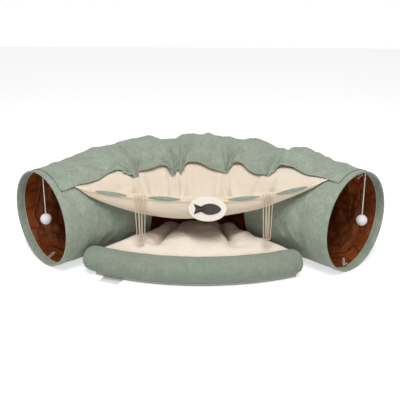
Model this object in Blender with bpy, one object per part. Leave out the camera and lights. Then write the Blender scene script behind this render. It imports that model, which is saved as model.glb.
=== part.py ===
"""Cat tunnel bed: a bent cloth tunnel with an open front, a mat with a cushion and a bolster in the
opening, and a hammock slung over the cushion. Both mouths are wire hoops that can be pushed in.

Metres, +Z up, -Y is the front. The origin is on the floor, midway between the two mouths' centres.
"""

import math

import bmesh
import bpy
from mathutils import Vector

for old_object in list(bpy.data.objects):
    bpy.data.objects.remove(old_object, do_unlink=True)

# Cloths, and the gap that neighbouring pieces keep
fit_gap = 0.0003
shell_cloth = 0.0012
lining_cloth = 0.0008
hem_cloth = 0.0012
canopy_cloth = 0.0012
sling_cloth = 0.0012

# Tunnel: two straight sleeves and a bend between them
mouth_diameter = 0.300
bend_start_slack = 0.0075
middle_slack = 0.0100
sleeve_length = 0.240
sleeve_waist = 0.003
left_mouth_sag_share = 0.04
push_in_reach = 0.160
top_sag = 0.020
top_sag_start_share = 0.75
top_sag_end_share = 0.85
bend_radius = 0.422
bend_half_angle = math.radians(43)
window_half_angle = math.radians(32)
window_top_angle = math.radians(112)
window_bottom_angle = math.radians(262)

# Mouths: a folded hem round the cloths' edge, with a wire hoop in its fold
wire_diameter = 0.0022
hem_outer_leg = 0.015
hem_facing = 0.022
casing_margin = 0.0040

# Canopy: the loose top cover, gathered along its front edge
canopy_seam_step = 3
canopy_seam_lift = 0.0028
canopy_rise = 0.0062
canopy_mouth_lift = 0.0021
canopy_bulge = 0.016
canopy_rise_shares = (0.25, 0.90)
canopy_puff_shares = (0.30, 0.85)
canopy_seam_share = 0.606
gathered_hem_width = 0.010
gathered_hem_cloth = 0.0009
elastic_thickness = 0.0008
elastic_width = 0.0030
elastic_room = 0.0009

# Hammock: a front band, a cloth pocket behind it, four insets and two tassels on the band
band_middle = Vector((0.018, -0.058, 0.238))
band_tip_angle_left = math.radians(49)
band_tip_angle_right = math.radians(61)
band_height = 0.016
band_tip_height = 0.006
band_cloth = 0.0020
sling_lift = 0.0022
sling_seam_gap = 0.0012
sling_seam_overlap = 0.0030
band_lift = 0.0040
band_run_step = 0.01
band_lean_shares = (0.84, 0.98)
sling_top_angle = math.radians(66)
sling_low_angle = math.radians(27)
sling_head_room = math.radians(3)
rim_room = 0.0008
hammock_left_reach = 0.492
hammock_right_reach = 0.500
sling_over_sleeve_shares = (0.45, 0.85)
sling_slope_shares = (0.50, 0.35)
sling_drop_share = 1.35
belly_depth = 0.085
inset_height = 0.013
inset_cloth = 0.0012
left_inner_inset_stations = (4, 10)
right_inner_inset_stations = (5, 11)
outer_inset_stations = (14, 20)
left_tassel_position = -0.174
right_tassel_position = 0.184
tassel_length = 0.142
tassel_cord = 0.0026
tassel_loop_radius = 0.0048
tassel_loop_pitch = 0.0098
tassel_gather = 0.0045

# Badge on the band
badge_width = 0.108
badge_height = 0.074
badge_felt = 0.0025
badge_drop = 0.034
badge_shift = 0.016
fish_length = 0.078
fish_height = 0.034
fish_felt = 0.0010

# Mat: a pad on the floor, a cushion on it and a bolster along its front edge
base_thickness = 0.008
mat_side_clearance = 0.125
bolster_diameter = 0.075
bolster_arc_radius = 0.620
bolster_front_reach = 0.163
bolster_half_width = 0.308
bolster_centre_x = -0.009
base_lip = 0.009
cushion_height = 0.090
cushion_edge_height = 0.050
cushion_bottom_inset = 0.012
cushion_crown_powers = (8, 4)
cushion_front_half_width = 0.284
cushion_waist_half_width = 0.156
cushion_waist_y = 0.074
cushion_rear_half_width = 0.118
cushion_rear_y = 0.186
crease_depth = 0.026
crease_radius = 0.024
label_width = 0.064
label_length = 0.036
label_tape = 0.0006
label_position = -0.224
label_drop_length = 0.010

# Toys hung in the mouths, and the ties that join the two mouths into a ring
toy_ball_diameter = 0.033
left_toy_cord_length = 0.109
right_toy_cord_length = 0.119
toy_cord_diameter = 0.003
toy_tab_width = 0.008
toy_tab_top_width = 0.0014
toy_tab_height = 0.007
toy_tab_tape = 0.0016
toy_inset = 0.010
toy_hinge_gap = 0.0009
toy_cord_tip_share = 0.30
left_toy_angle = math.radians(97)
right_toy_angle = math.radians(73)
tie_cord = 0.0018
tie_length = 0.025
top_tie_length = 0.015
tie_root = 0.003
tie_loop_radius = 0.0040
left_tie_angle = math.radians(275.6)
left_tie_lean = math.radians(32)
right_tie_angle = math.radians(264.4)
right_tie_lean = math.radians(80)
top_tie_angle = math.radians(73.1)
top_tie_lean = math.radians(70)
toggle_length = 0.022
toggle_diameter = 0.0052
bottom_toggle_share = 0.32
top_toggle_share = 0.80
top_toggle_turn = math.radians(48)

# Facets
ring_steps = 32
wire_sides = 5
toggle_sides = 8
shell_steps = 3
canopy_last_step = 10
canopy_front_steps = 3
band_side_steps = 24
sling_window_columns = 8
sling_sleeve_columns = 4
sling_rows = 14
sling_held_rows = 4

# The canopy's front edge: place as a share of the half length, degrees above the tube's front,
# and how far it stands out between the gathers, as a share of the bulge
canopy_edge_shares = (
    (-1.000, 47.0, 0.10), (-0.920, 47.5, 0.22), (-0.870, 48.5, 0.25), (-0.790, 46.5, 0.30),
    (-0.740, 47.0, 0.35), (-0.687, 49.5, 0.45), (-0.640, 49.5, 0.55), (-0.599, 46.4, 0.35),
    (-0.570, 41.5, 0.15), (-0.540, 39.0, 0.00), (-0.512, 41.1, 0.15), (-0.494, 44.1, 0.40),
    (-0.431, 43.8, 0.80), (-0.372, 44.4, 1.00), (-0.318, 46.0, 1.00), (-0.276, 45.7, 0.90),
    (-0.254, 42.4, 0.60), (-0.238, 37.0, 0.25), (-0.221, 33.8, 0.00), (-0.199, 37.0, 0.20),
    (-0.180, 39.8, 0.30), (-0.160, 37.6, 0.15), (-0.145, 35.1, 0.00), (-0.131, 39.8, 0.35),
    (-0.105, 45.9, 0.70), (-0.072, 48.0, 0.90), (-0.020, 47.5, 1.00), (0.030, 45.2, 1.00),
    (0.078, 42.1, 0.90), (0.143, 39.8, 0.60), (0.190, 38.6, 0.30), (0.234, 38.1, 0.00),
    (0.255, 45.1, 0.50), (0.272, 49.5, 0.80), (0.318, 50.7, 1.00), (0.370, 49.0, 1.00),
    (0.423, 46.5, 0.90), (0.496, 44.6, 0.55), (0.537, 44.4, 0.30), (0.580, 44.5, 0.00),
    (0.596, 49.0, 0.30), (0.611, 54.0, 0.60), (0.643, 57.7, 0.90), (0.687, 59.4, 0.80),
    (0.735, 58.1, 0.60), (0.783, 57.1, 0.40), (0.825, 58.6, 0.30), (0.882, 59.8, 0.25),
    (0.926, 59.6, 0.20), (1.000, 58.8, 0.10),
)

# The hammock's belly: place along the band and depth as a share of its greatest depth
belly_depth_shares = (
    (-1.0, 0.00), (-0.92, 0.30), (-0.80, 0.56), (-0.55, 0.84), (-0.20, 1.00), (0.00, 0.93),
    (0.20, 0.80), (0.50, 0.58), (0.75, 0.34), (0.92, 0.14), (1.0, 0.00),
)

# The cushion's two creases, from the front to the back: shares of the cushion's width (from its
# middle) and of its depth (from its front edge)
crease_shares = (
    ((-0.50, 0.16), (-0.56, 0.36), (-0.58, 0.52), (-0.56, 0.80), (-0.55, 0.97)),
    ((0.45, 0.13), (0.48, 0.34), (0.53, 0.52), (0.58, 0.84), (0.58, 0.97)),
)

# The fish's upper outline, from its nose to the notch in its tail: shares of half its size
fish_shares = (
    (1.00, 0.0), (0.90, 0.38), (0.70, 0.70), (0.42, 0.94), (0.12, 1.00), (-0.18, 0.84),
    (-0.44, 0.50), (-0.62, 0.22), (-0.74, 0.30), (-1.00, 0.92), (-0.86, 0.0),
)

# A toggle's turned outline: place as a share of its half length, and radius as a share
toggle_shares = (
    (-1.0, 0.45), (-0.85, 0.85), (-0.50, 1.00), (-0.12, 0.72), (0.12, 0.72), (0.50, 1.00),
    (0.85, 0.85), (1.0, 0.45),
)

# Derived sizes
bend_length = bend_radius * bend_half_angle
half_length = bend_length + sleeve_length
mouth_radius = mouth_diameter / 2
bend_start_radius = mouth_radius + bend_start_slack
middle_radius = mouth_radius + middle_slack
mouth_shell_radius = mouth_radius - hem_cloth - fit_gap
bend_centre_y = sleeve_length * math.sin(bend_half_angle) - bend_radius * math.cos(bend_half_angle)
cloth_stack = shell_cloth + fit_gap + lining_cloth
wire_radius = wire_diameter / 2
hem_pocket = wire_diameter + 2 * fit_gap
mouth_reach = hem_pocket + hem_cloth
sleeve_edge = half_length - mouth_reach
lining_offset = -shell_cloth - fit_gap
mouth_offset = -cloth_stack - fit_gap - hem_cloth
ring_step = math.tau / ring_steps
canopy_seam_angle = canopy_seam_step * ring_step
flap_end = sleeve_edge - hem_outer_leg - fit_gap
rim_sweep_start = sleeve_edge - hem_outer_leg - push_in_reach
between_angle = (window_half_angle + bend_half_angle) / 2
top_sag_places = (
    (window_half_angle * top_sag_start_share, 0.0), (window_half_angle, 1.0),
    (between_angle, top_sag_end_share), (bend_half_angle, 0.0),
)


def material(name, color, roughness, metallic=0.0):
    """A plain Principled material, with an RGB colour."""
    made = bpy.data.materials.new(name)
    made.use_nodes = True
    shader = made.node_tree.nodes["Principled BSDF"]
    shader.inputs["Base Color"].default_value = (*color, 1.0)
    shader.inputs["Roughness"].default_value = roughness
    shader.inputs["Metallic"].default_value = metallic
    made.diffuse_color = (*color, 1.0)
    return made


sage_cloth = material("sage_cloth", (0.37, 0.43, 0.34), 0.85)
brown_lining = material("brown_lining", (0.13, 0.035, 0.010), 0.45)
cream_cloth = material("cream_cloth", (0.76, 0.63, 0.48), 0.85)
cushion_cloth = material("cushion_cloth", (0.68, 0.57, 0.46), 0.90)
pad_cloth = material("pad_cloth", (0.70, 0.70, 0.70), 0.80)
label_tape_cloth = material("label_tape_cloth", (0.85, 0.85, 0.84), 0.70)
spring_steel = material("spring_steel", (0.55, 0.55, 0.56), 0.30, 1.0)
elastic_band = material("elastic_band", (0.80, 0.80, 0.78), 0.80)
white_cord = material("white_cord", (0.82, 0.80, 0.78), 0.80)
white_felt = material("white_felt", (0.75, 0.72, 0.70), 0.95)
cream_cord = material("cream_cord", (0.72, 0.58, 0.42), 0.80)
badge_cloth = material("badge_cloth", (0.80, 0.76, 0.68), 0.90)
dark_felt = material("dark_felt", (0.05, 0.03, 0.025), 0.90)
toggle_wood = material("toggle_wood", (0.55, 0.36, 0.16), 0.50)


def finish_mesh(name, bm, cloth, sharp_angle=math.radians(40)):
    """Turns a bmesh into a named, smooth-shaded object whose faces point outwards."""
    bmesh.ops.recalc_face_normals(bm, faces=bm.faces)
    mesh = bpy.data.meshes.new(name)
    bm.to_mesh(mesh)
    bm.free()
    mesh.shade_smooth()
    mesh.set_sharp_from_angle(angle=sharp_angle)
    made = bpy.data.objects.new(name, mesh)
    made.data.materials.append(cloth)
    bpy.context.scene.collection.objects.link(made)
    return made


def sheet_solid(name, outer, inner, cloth, closed=False, keep=None):
    """A solid from two matching grids of points, joined along every free edge."""
    rows = len(outer)
    columns = len(outer[0])
    steps = columns if closed else columns - 1
    quads = [
        ((i, j), (i, (j + 1) % columns), (i + 1, (j + 1) % columns), (i + 1, j))
        for i in range(rows - 1)
        for j in range(steps)
        if keep is None or keep(i, j)
    ]
    bm = bmesh.new()
    used = sorted({corner for quad in quads for corner in quad})
    top = {key: bm.verts.new(outer[key[0]][key[1]]) for key in used}
    bottom = {key: bm.verts.new(inner[key[0]][key[1]]) for key in used}
    sides = set()
    for quad in quads:
        for half in (quad[:3], (quad[0], *quad[2:])):
            bm.faces.new([top[key] for key in half])
            bm.faces.new([bottom[key] for key in reversed(half)])
        sides.update(zip(quad, quad[1:] + quad[:1]))
    for start, end in sorted(sides):
        if (end, start) not in sides:
            bm.faces.new([top[end], top[start], bottom[start], bottom[end]])
    return finish_mesh(name, bm, cloth)


def swept_solid(name, rings, cloth, closed=False):
    """A solid through a row of matching profiles: a ring, or a run with capped ends."""
    bm = bmesh.new()
    loops = [[bm.verts.new(point) for point in ring] for ring in rings]
    count = len(loops[0])
    pairs = list(zip(loops, loops[1:]))
    if closed:
        pairs.append((loops[-1], loops[0]))
    for first, second in pairs:
        for k in range(count):
            after = (k + 1) % count
            bm.faces.new([first[k], first[after], second[after]])
            bm.faces.new([first[k], second[after], second[k]])
    if not closed:
        bm.faces.new(list(reversed(loops[0])))
        bm.faces.new(loops[-1])
    return finish_mesh(name, bm, cloth)


def cord_solid(name, points, diameter, cloth, resolution=1):
    """A cord along a row of points, as a curve with a round bevel and filled ends."""
    curve = bpy.data.curves.new(name, "CURVE")
    curve.dimensions = "3D"
    curve.bevel_depth = diameter / 2
    curve.bevel_resolution = resolution
    curve.use_fill_caps = True
    spline = curve.splines.new("POLY")
    spline.points.add(len(points) - 1)
    for place, point in zip(spline.points, points):
        place.co = (*point, 1.0)
    made = bpy.data.objects.new(name, curve)
    made.data.materials.append(cloth)
    bpy.context.scene.collection.objects.link(made)
    return made


def axis_empty(name, place, pieces):
    """An empty on a joint's axis that carries the pieces moving about it."""
    holder = bpy.data.objects.new(name, None)
    holder.location = place
    bpy.context.scene.collection.objects.link(holder)
    bpy.context.view_layer.update()
    for piece in pieces:
        piece.parent = holder
        piece.matrix_parent_inverse = holder.matrix_world.inverted()
    return holder


def smooth_share(value, low, high):
    """0 below low, 1 above high, and an S-shaped rise between."""
    share = min(max((value - low) / (high - low), 0.0), 1.0)
    return share * share * (3 - 2 * share)


def table_value(table, place, column=1):
    """A column of a table of rows, read between its rows by straight lines."""
    for low, high in zip(table, table[1:]):
        if place <= high[0]:
            share = max((place - low[0]) / (high[0] - low[0]), 0.0)
            return low[column] + (high[column] - low[column]) * share
    return table[-1][column]


def centreline(along):
    """The tunnel's centreline, measured from its middle, and the level way out of its bend."""
    side = 1.0 if along >= 0 else -1.0
    turn = min(abs(along) / bend_radius, bend_half_angle)
    straight = abs(along) - bend_radius * turn
    x = bend_radius * math.sin(turn) + straight * math.cos(turn)
    y = bend_centre_y + bend_radius * math.cos(turn) - straight * math.sin(turn)
    return Vector((side * x, y, 0.0)), Vector((side * math.sin(turn), math.cos(turn), 0.0))


def shell_radius(along):
    """The outer radius of the tunnel's cloth, with a slight waist between a sleeve's hoops."""
    reach = abs(along)
    if reach <= bend_length:
        share = (reach / bend_length) ** 2
        return middle_radius + (bend_start_radius - middle_radius) * share
    share = (reach - bend_length) / sleeve_length
    waist = sleeve_waist * math.sin(math.pi * min(share, 1.0))
    return bend_start_radius + (mouth_shell_radius - bend_start_radius) * share - waist


def tunnel_halves(along):
    """Half the tunnel's width and half its height: its left mouth sags to a slight oval."""
    sag = left_mouth_sag_share * smooth_share(-along, bend_length, half_length)
    radius = shell_radius(along)
    return radius * (1 + sag), radius * (1 - sag)


def centre_height(along):
    """The height of the tunnel's axis, which keeps its cloth, or its hems, on the floor."""
    share = smooth_share(abs(along), bend_length, half_length)
    return tunnel_halves(along)[1] + (mouth_radius - mouth_shell_radius) * share


def sag_there(along, angle):
    """How far the slack top hangs below its round, between the window's right side and the hoop."""
    if math.sin(angle) <= 0:
        return 0.0
    return top_sag * table_value(top_sag_places, along / bend_radius) * math.sin(angle) ** 2


def tunnel_point(along, angle, offset=0.0):
    """A point on or off the tunnel's cloth. Angle 0 is the back, 90 degrees the top, 180 the front."""
    centre, outward = centreline(along)
    half_width, half_height = tunnel_halves(along)
    level = outward * ((half_width + offset) * math.cos(angle))
    height = centre_height(along) + (half_height + offset) * math.sin(angle)
    return centre + level + Vector((0.0, 0.0, height - sag_there(along, angle)))


def tunnel_place(point):
    """Where a point lies along the tunnel, and its level and upward distances from the axis."""
    side = 1.0 if point.x >= 0 else -1.0
    turn = math.atan2(side * point.x, point.y - bend_centre_y)
    if 0 <= turn <= bend_half_angle:
        level = math.hypot(point.x, point.y - bend_centre_y) - bend_radius
        along = bend_radius * turn
    else:
        start, outward = centreline(side * bend_length)
        forward = Vector((side * math.cos(bend_half_angle), -math.sin(bend_half_angle), 0.0))
        from_start = Vector((point.x, point.y, 0.0)) - start
        level = from_start.dot(outward)
        along = bend_length + from_start.dot(forward)
    rise = point.z - centre_height(side * along)
    return side * along, level, rise + sag_there(side * along, math.atan2(rise, level))


def push_off_tunnel(point, offset):
    """How far a point has to move straight out of the tunnel to lie this far off its cloth, and
    clear of a mouth's rim that is pushed in past it."""
    along, level, rise = tunnel_place(point)
    half_width, half_height = tunnel_halves(along)
    rounds = [(half_width + offset, half_height + offset, rise)]
    near_rim = smooth_share(abs(along), rim_sweep_start - hem_facing, rim_sweep_start)
    if near_rim > 0:
        mouth_place = math.copysign(half_length, along)
        rim_offset = (mouth_radius - mouth_shell_radius + rim_room) * near_rim
        rim_width, rim_height = (half + rim_offset for half in tunnel_halves(mouth_place))
        rounds.append((rim_width, rim_height, point.z - centre_height(mouth_place)))
    _, outward = centreline(along)
    push = Vector((0.0, 0.0, 0.0))
    for width, height, up in rounds:
        share = math.hypot(level / width, up / height)
        if 0 < share < 1:
            way_out = (outward * level + Vector((0.0, 0.0, up))) * (1 / share - 1)
            push = max(push, way_out, key=lambda way: way.length)
    return push


def tunnel_ring(along, offset):
    """One round of points on the tunnel."""
    return [tunnel_point(along, math.tau * k / ring_steps, offset) for k in range(ring_steps)]


def profile_ring(name, profile, cloth):
    """A ring round a sleeve, from a profile of (place along the tunnel, offset) pairs."""
    rings = [
        [tunnel_point(along, math.tau * k / ring_steps, offset) for along, offset in profile]
        for k in range(ring_steps)
    ]
    return swept_solid(name, rings, cloth, closed=True)


def wire_ring(name, along, offset):
    """A round wire hoop at a place along the tunnel."""
    profile = []
    for k in range(wire_sides):
        turn = math.tau * k / wire_sides
        profile.append((along + wire_radius * math.cos(turn), offset + wire_radius * math.sin(turn)))
    return profile_ring(name, profile, spring_steel)


def sleeve(side, hand):
    """A straight sleeve: its shell, its lining and the hoop at the bend, in a cloth casing."""
    start = bend_length + fit_gap / 2
    facing_start = sleeve_edge - hem_facing
    places = [start + (facing_start - start) * i / shell_steps for i in range(shell_steps + 1)]
    places += [sleeve_edge - hem_outer_leg, sleeve_edge]
    stations = [side * place for place in places]
    sheet_solid(
        hand + "_sleeve_shell",
        [tunnel_ring(along, 0.0) for along in stations],
        [tunnel_ring(along, -shell_cloth) for along in stations],
        sage_cloth,
        closed=True,
    )
    sheet_solid(
        hand + "_sleeve_lining",
        [tunnel_ring(along, lining_offset) for along in stations],
        [tunnel_ring(along, lining_offset - lining_cloth) for along in stations],
        brown_lining,
        closed=True,
    )
    casing_half = wire_radius + fit_gap + casing_margin
    hoop_place = start + casing_half
    hoop_offset = -cloth_stack - fit_gap - wire_radius
    wire_ring(hand + "_inner_hoop", side * hoop_place, hoop_offset)
    mouth = -cloth_stack - fit_gap
    floor = hoop_offset - wire_radius - fit_gap
    pocket_half = wire_radius + fit_gap
    profile = (
        (-casing_half, mouth), (-pocket_half, mouth), (-pocket_half, floor), (pocket_half, floor),
        (pocket_half, mouth), (casing_half, mouth), (casing_half, floor - lining_cloth),
        (-casing_half, floor - lining_cloth),
    )
    casing = [(side * (hoop_place + place), offset) for place, offset in profile]
    profile_ring(hand + "_inner_hoop_casing", casing, brown_lining)


def facet_sag(angle):
    """How far a round's flat facet lies inside the true round at an angle."""
    from_middle = (angle % ring_step) - ring_step / 2
    return mouth_radius * (1 - math.cos(ring_step / 2) / math.cos(from_middle))


def mouth_rim(side, hand):
    """The folded hem that grips a sleeve's edge, and the wire hoop in its fold."""
    outside = fit_gap + hem_cloth
    inside = -cloth_stack - fit_gap
    profile = (
        (-hem_outer_leg, outside), (hem_pocket, outside), (mouth_reach, fit_gap),
        (mouth_reach, inside), (hem_pocket, inside - hem_cloth), (-hem_facing, inside - hem_cloth),
        (-hem_facing, inside), (hem_pocket, inside), (hem_pocket, fit_gap), (-hem_outer_leg, fit_gap),
    )
    hem = profile_ring(
        hand + "_mouth_hem",
        [(side * (sleeve_edge + place), offset) for place, offset in profile],
        sage_cloth,
    )
    hoop_place = side * (sleeve_edge + fit_gap + wire_radius)
    hoop = wire_ring(hand + "_mouth_hoop", hoop_place, -cloth_stack / 2)
    return [hem, hoop]


def bend_angles():
    """The bend's stations, with one at each side of the window."""
    inner = 8
    middle = [window_half_angle * (2 * i / inner - 1) for i in range(inner + 1)]
    end = bend_half_angle - fit_gap / 2 / bend_radius
    return [-end, -between_angle, *middle, between_angle, end]


def middle_tube(name, outer_offset, thickness, cloth):
    """The tunnel's bend, with the window in its front."""
    back_steps = 18
    front_steps = 12
    bottom = window_bottom_angle - math.tau
    angles = [
        bottom + (window_top_angle - bottom) * j / back_steps for j in range(back_steps + 1)
    ]
    span = window_bottom_angle - window_top_angle
    angles += [window_top_angle + span * j / front_steps for j in range(1, front_steps)]
    turns = bend_angles()
    layers = [
        [[tunnel_point(bend_radius * turn, angle, offset) for angle in angles] for turn in turns]
        for offset in (outer_offset, outer_offset - thickness)
    ]
    last = len(turns) - 2

    def keep(i, j):
        return i in (0, 1, last - 1, last) or j < back_steps

    sheet_solid(name, layers[0], layers[1], cloth, closed=True, keep=keep)


def canopy_offset(along, angle, edge_angle):
    """How far the canopy stands off the tunnel: it lifts to the front, and bulges between gathers."""
    share = (angle - canopy_seam_angle) / (edge_angle - canopy_seam_angle)
    fullness = table_value(canopy_edge_shares, along / half_length, column=2)
    front = smooth_share(share, *canopy_rise_shares)
    ruffle = fullness * smooth_share(share, *canopy_puff_shares)
    loose = canopy_seam_lift + (canopy_rise - canopy_seam_lift) * front + canopy_bulge * ruffle
    sewn = smooth_share(abs(along), hammock_right_reach, flap_end)
    return loose + (canopy_mouth_lift - loose) * sewn


def canopy_edge_angle(along):
    """The angle of the canopy's front edge round the tunnel."""
    return math.pi - math.radians(table_value(canopy_edge_shares, along / half_length))


def canopy_grid(stations, extra):
    """Points of the canopy at an extra offset, from its back seam to its front edge."""
    grid = []
    for along in stations:
        edge = canopy_edge_angle(along)
        angles = [ring_step * step for step in range(canopy_seam_step, canopy_last_step + 1)]
        last = angles[-1]
        angles += [last + (edge - last) * i / canopy_front_steps
                   for i in range(1, canopy_front_steps + 1)]
        grid.append(
            [tunnel_point(along, a, canopy_offset(along, a, edge) + extra) for a in angles]
        )
    return grid


def canopy_stations(low, high):
    """Places along the tunnel from low to high, with each named one of the edge between."""
    named = [row[0] * half_length for row in canopy_edge_shares]
    return [low, *(place for place in named if low + fit_gap < place < high - fit_gap), high]


def canopy():
    """The top cover: a gathered middle piece and a flap over each sleeve."""
    seam = canopy_seam_share * half_length
    spans = (
        ("middle_canopy", -seam, seam),
        ("left_sleeve_flap", -flap_end, -seam - fit_gap),
        ("right_sleeve_flap", seam + fit_gap, flap_end),
    )
    for name, low, high in spans:
        stations = canopy_stations(low, high)
        outer = canopy_grid(stations, canopy_cloth)
        sheet_solid(name, outer, canopy_grid(stations, 0.0), sage_cloth)


def gathered_hem():
    """The canopy's front hem, a folded casing with its elastic inside."""
    seam = canopy_seam_share * half_length
    half_pocket = elastic_thickness / 2 + elastic_room
    half_hem = half_pocket + gathered_hem_cloth
    pocket_end = fit_gap + gathered_hem_width - gathered_hem_cloth
    hem_end = fit_gap + gathered_hem_width
    hem_profile = (
        (fit_gap, -half_hem), (fit_gap, -half_pocket), (pocket_end, -half_pocket),
        (pocket_end, half_pocket), (fit_gap, half_pocket), (fit_gap, half_hem),
        (hem_end, half_hem), (hem_end, -half_hem),
    )
    elastic_end = pocket_end - elastic_room
    elastic_start = elastic_end - elastic_width
    half_elastic = elastic_thickness / 2
    elastic_profile = (
        (elastic_start, -half_elastic), (elastic_start, half_elastic),
        (elastic_end, half_elastic), (elastic_end, -half_elastic),
    )
    stations = canopy_stations(-seam, seam)
    for name, profile, cloth in (
        ("gathered_hem", hem_profile, sage_cloth),
        ("hem_elastic", elastic_profile, elastic_band),
    ):
        rings = []
        for along in stations:
            edge = canopy_edge_angle(along)
            offset = canopy_offset(along, edge, edge) + canopy_cloth / 2
            radius = shell_radius(along) + offset
            rings.append(
                [tunnel_point(along, edge + down / radius, offset + out) for down, out in profile]
            )
        swept_solid(name, rings, cloth)


band_left_tip = tunnel_point(-hammock_left_reach, math.pi - band_tip_angle_left, band_lift)
band_right_tip = tunnel_point(hammock_right_reach, math.pi - band_tip_angle_right, band_lift)


def band_point(share):
    """The band's top edge, from -1 at its left tip to 1 at its right tip."""
    tip = band_right_tip if share >= 0 else band_left_tip
    reach = abs(share)
    across = band_middle.x + (tip.x - band_middle.x) * reach
    deep = band_middle.y + (tip.y - band_middle.y) * reach ** 2
    high = band_middle.z + (tip.z - band_middle.z) * reach ** 2
    return Vector((across, deep, high))


def band_share(distance):
    """The band's share at a signed level distance from its middle."""
    tip = band_right_tip if distance >= 0 else band_left_tip
    return math.copysign(distance / (tip.x - band_middle.x), distance)


def band_depth(share):
    """The band's height, which narrows to its tips."""
    return band_tip_height + (band_height - band_tip_height) * (1 - abs(share) ** 4)


def band_frame(share):
    """The band's top and bottom edges there and its front, leaning on the sleeves at its tips."""
    run = band_point(min(share + band_run_step, 1.0)) - band_point(max(share - band_run_step, -1.0))
    run.z = 0.0
    run.normalize()
    top = band_point(share)
    along, level, rise = tunnel_place(top)
    _, outward = centreline(along)
    tilt = math.atan2(rise, -level)
    tangent = outward * math.sin(tilt) + Vector((0.0, 0.0, math.cos(tilt)))
    up = Vector((0.0, 0.0, 1.0)).lerp(tangent, smooth_share(abs(share), *band_lean_shares))
    up.normalize()
    bottom = top - up * band_depth(share)
    push = push_off_tunnel(top, band_lift)
    bottom_push = push_off_tunnel(bottom, band_lift)
    if bottom_push.length > push.length:
        push = bottom_push
    front = run.cross(up)
    front.normalize()
    return top + push, bottom + push, run, front


def hammock_band():
    """The strap along the hammock's front."""
    rings = []
    for i in range(-band_side_steps, band_side_steps + 1):
        top, bottom, _, front = band_frame(i / band_side_steps)
        rings.append([bottom, top, top + front * band_cloth, bottom + front * band_cloth])
    swept_solid("hammock_band", rings, cream_cloth)


def sling_column(share):
    """One line of the hammock's cloth, from under the canopy, through its belly, to the band."""
    top, bottom, _, front = band_frame(share)
    finish = bottom + (top - bottom).normalized() * sling_seam_overlap
    finish -= front * (sling_cloth / 2 + sling_seam_gap)
    along, level, rise = tunnel_place(top)
    lift = sling_lift + sling_cloth / 2
    over_sleeve = smooth_share(abs(share), *sling_over_sleeve_shares)
    head_angle = math.atan2(rise, -level) + sling_head_room
    low_angle = sling_low_angle * (1 - over_sleeve) + head_angle * over_sleeve
    reach = hammock_right_reach if share >= 0 else hammock_left_reach
    along = share * reach
    line = []
    for i in range(sling_held_rows):
        angle = sling_top_angle + (low_angle - sling_top_angle) * i / sling_held_rows
        line.append(tunnel_point(along, math.pi - angle, lift))
    start = tunnel_point(along, math.pi - low_angle, lift)
    depth = belly_depth * table_value(belly_depth_shares, share)
    slope = start - line[-1]
    slope.normalize()
    span = (finish - start).length
    free_slope, sleeve_slope = sling_slope_shares
    first = start + slope * span * (free_slope + (sleeve_slope - free_slope) * over_sleeve)
    second = finish + Vector((0.0, 0.0, -sling_drop_share * depth))
    free = sling_rows - sling_held_rows
    for i in range(free):
        t = i / (free - 1)
        point = (
            start * (1 - t) ** 3
            + first * 3 * t * (1 - t) ** 2
            + second * 3 * t ** 2 * (1 - t)
            + finish * t ** 3
        )
        line.append(point)
    return line


def sling_places(reach):
    """Shares of the sling's columns on one side, from the middle out: the bend's stations, the
    places midway between them, and a few on the sleeve."""
    places = [bend_length * i / sling_window_columns * window_half_angle / bend_half_angle
              for i in range(1, sling_window_columns + 1)]
    places += [bend_radius * between_angle, bend_length]
    rest = reach - bend_length
    places += [bend_length + rest * i / sling_sleeve_columns
               for i in range(1, sling_sleeve_columns + 1)]
    return [place / reach for place in places]


def hammock_sling():
    """The hammock's pocket: cloth held under the canopy that hangs in a belly behind the band."""
    shares = [-share for share in reversed(sling_places(hammock_left_reach))]
    shares += [0.0, *sling_places(hammock_right_reach)]
    middle = [sling_column(share) for share in shares]
    for column in middle:
        for j, point in enumerate(column[:-1]):
            column[j] = point + push_off_tunnel(point, sling_lift + sling_cloth / 2)
    layers = ([], [])
    for i, column in enumerate(middle):
        before = middle[max(i - 1, 0)]
        after = middle[min(i + 1, len(middle) - 1)]
        faces = ([], [])
        for j, point in enumerate(column):
            across = after[j] - before[j]
            down = column[min(j + 1, sling_rows - 1)] - column[max(j - 1, 0)]
            normal = down.cross(across)
            normal.normalize()
            faces[0].append(point + normal * sling_cloth / 2)
            faces[1].append(point - normal * sling_cloth / 2)
        layers[0].append(faces[0])
        layers[1].append(faces[1])
    sheet_solid("hammock_sling", layers[0], layers[1], cream_cloth)


def band_inset(name, side, stations):
    """A lens-shaped patch on the band's front, between two of its stations."""
    start, end = stations
    rings = []
    for i in range(start, end + 1):
        top, bottom, _, front = band_frame(side * i / band_side_steps)
        up = (top - bottom).normalized()
        half = inset_height / 2 * math.sin(math.pi * (i - start + 0.5) / (end - start + 1))
        back = (top + bottom) / 2 + front * (band_cloth + fit_gap)
        face = front * inset_cloth
        low = back - up * half
        high = back + up * half
        rings.append([low, high, high + face, low + face])
    swept_solid(name, rings, sage_cloth)


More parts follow.
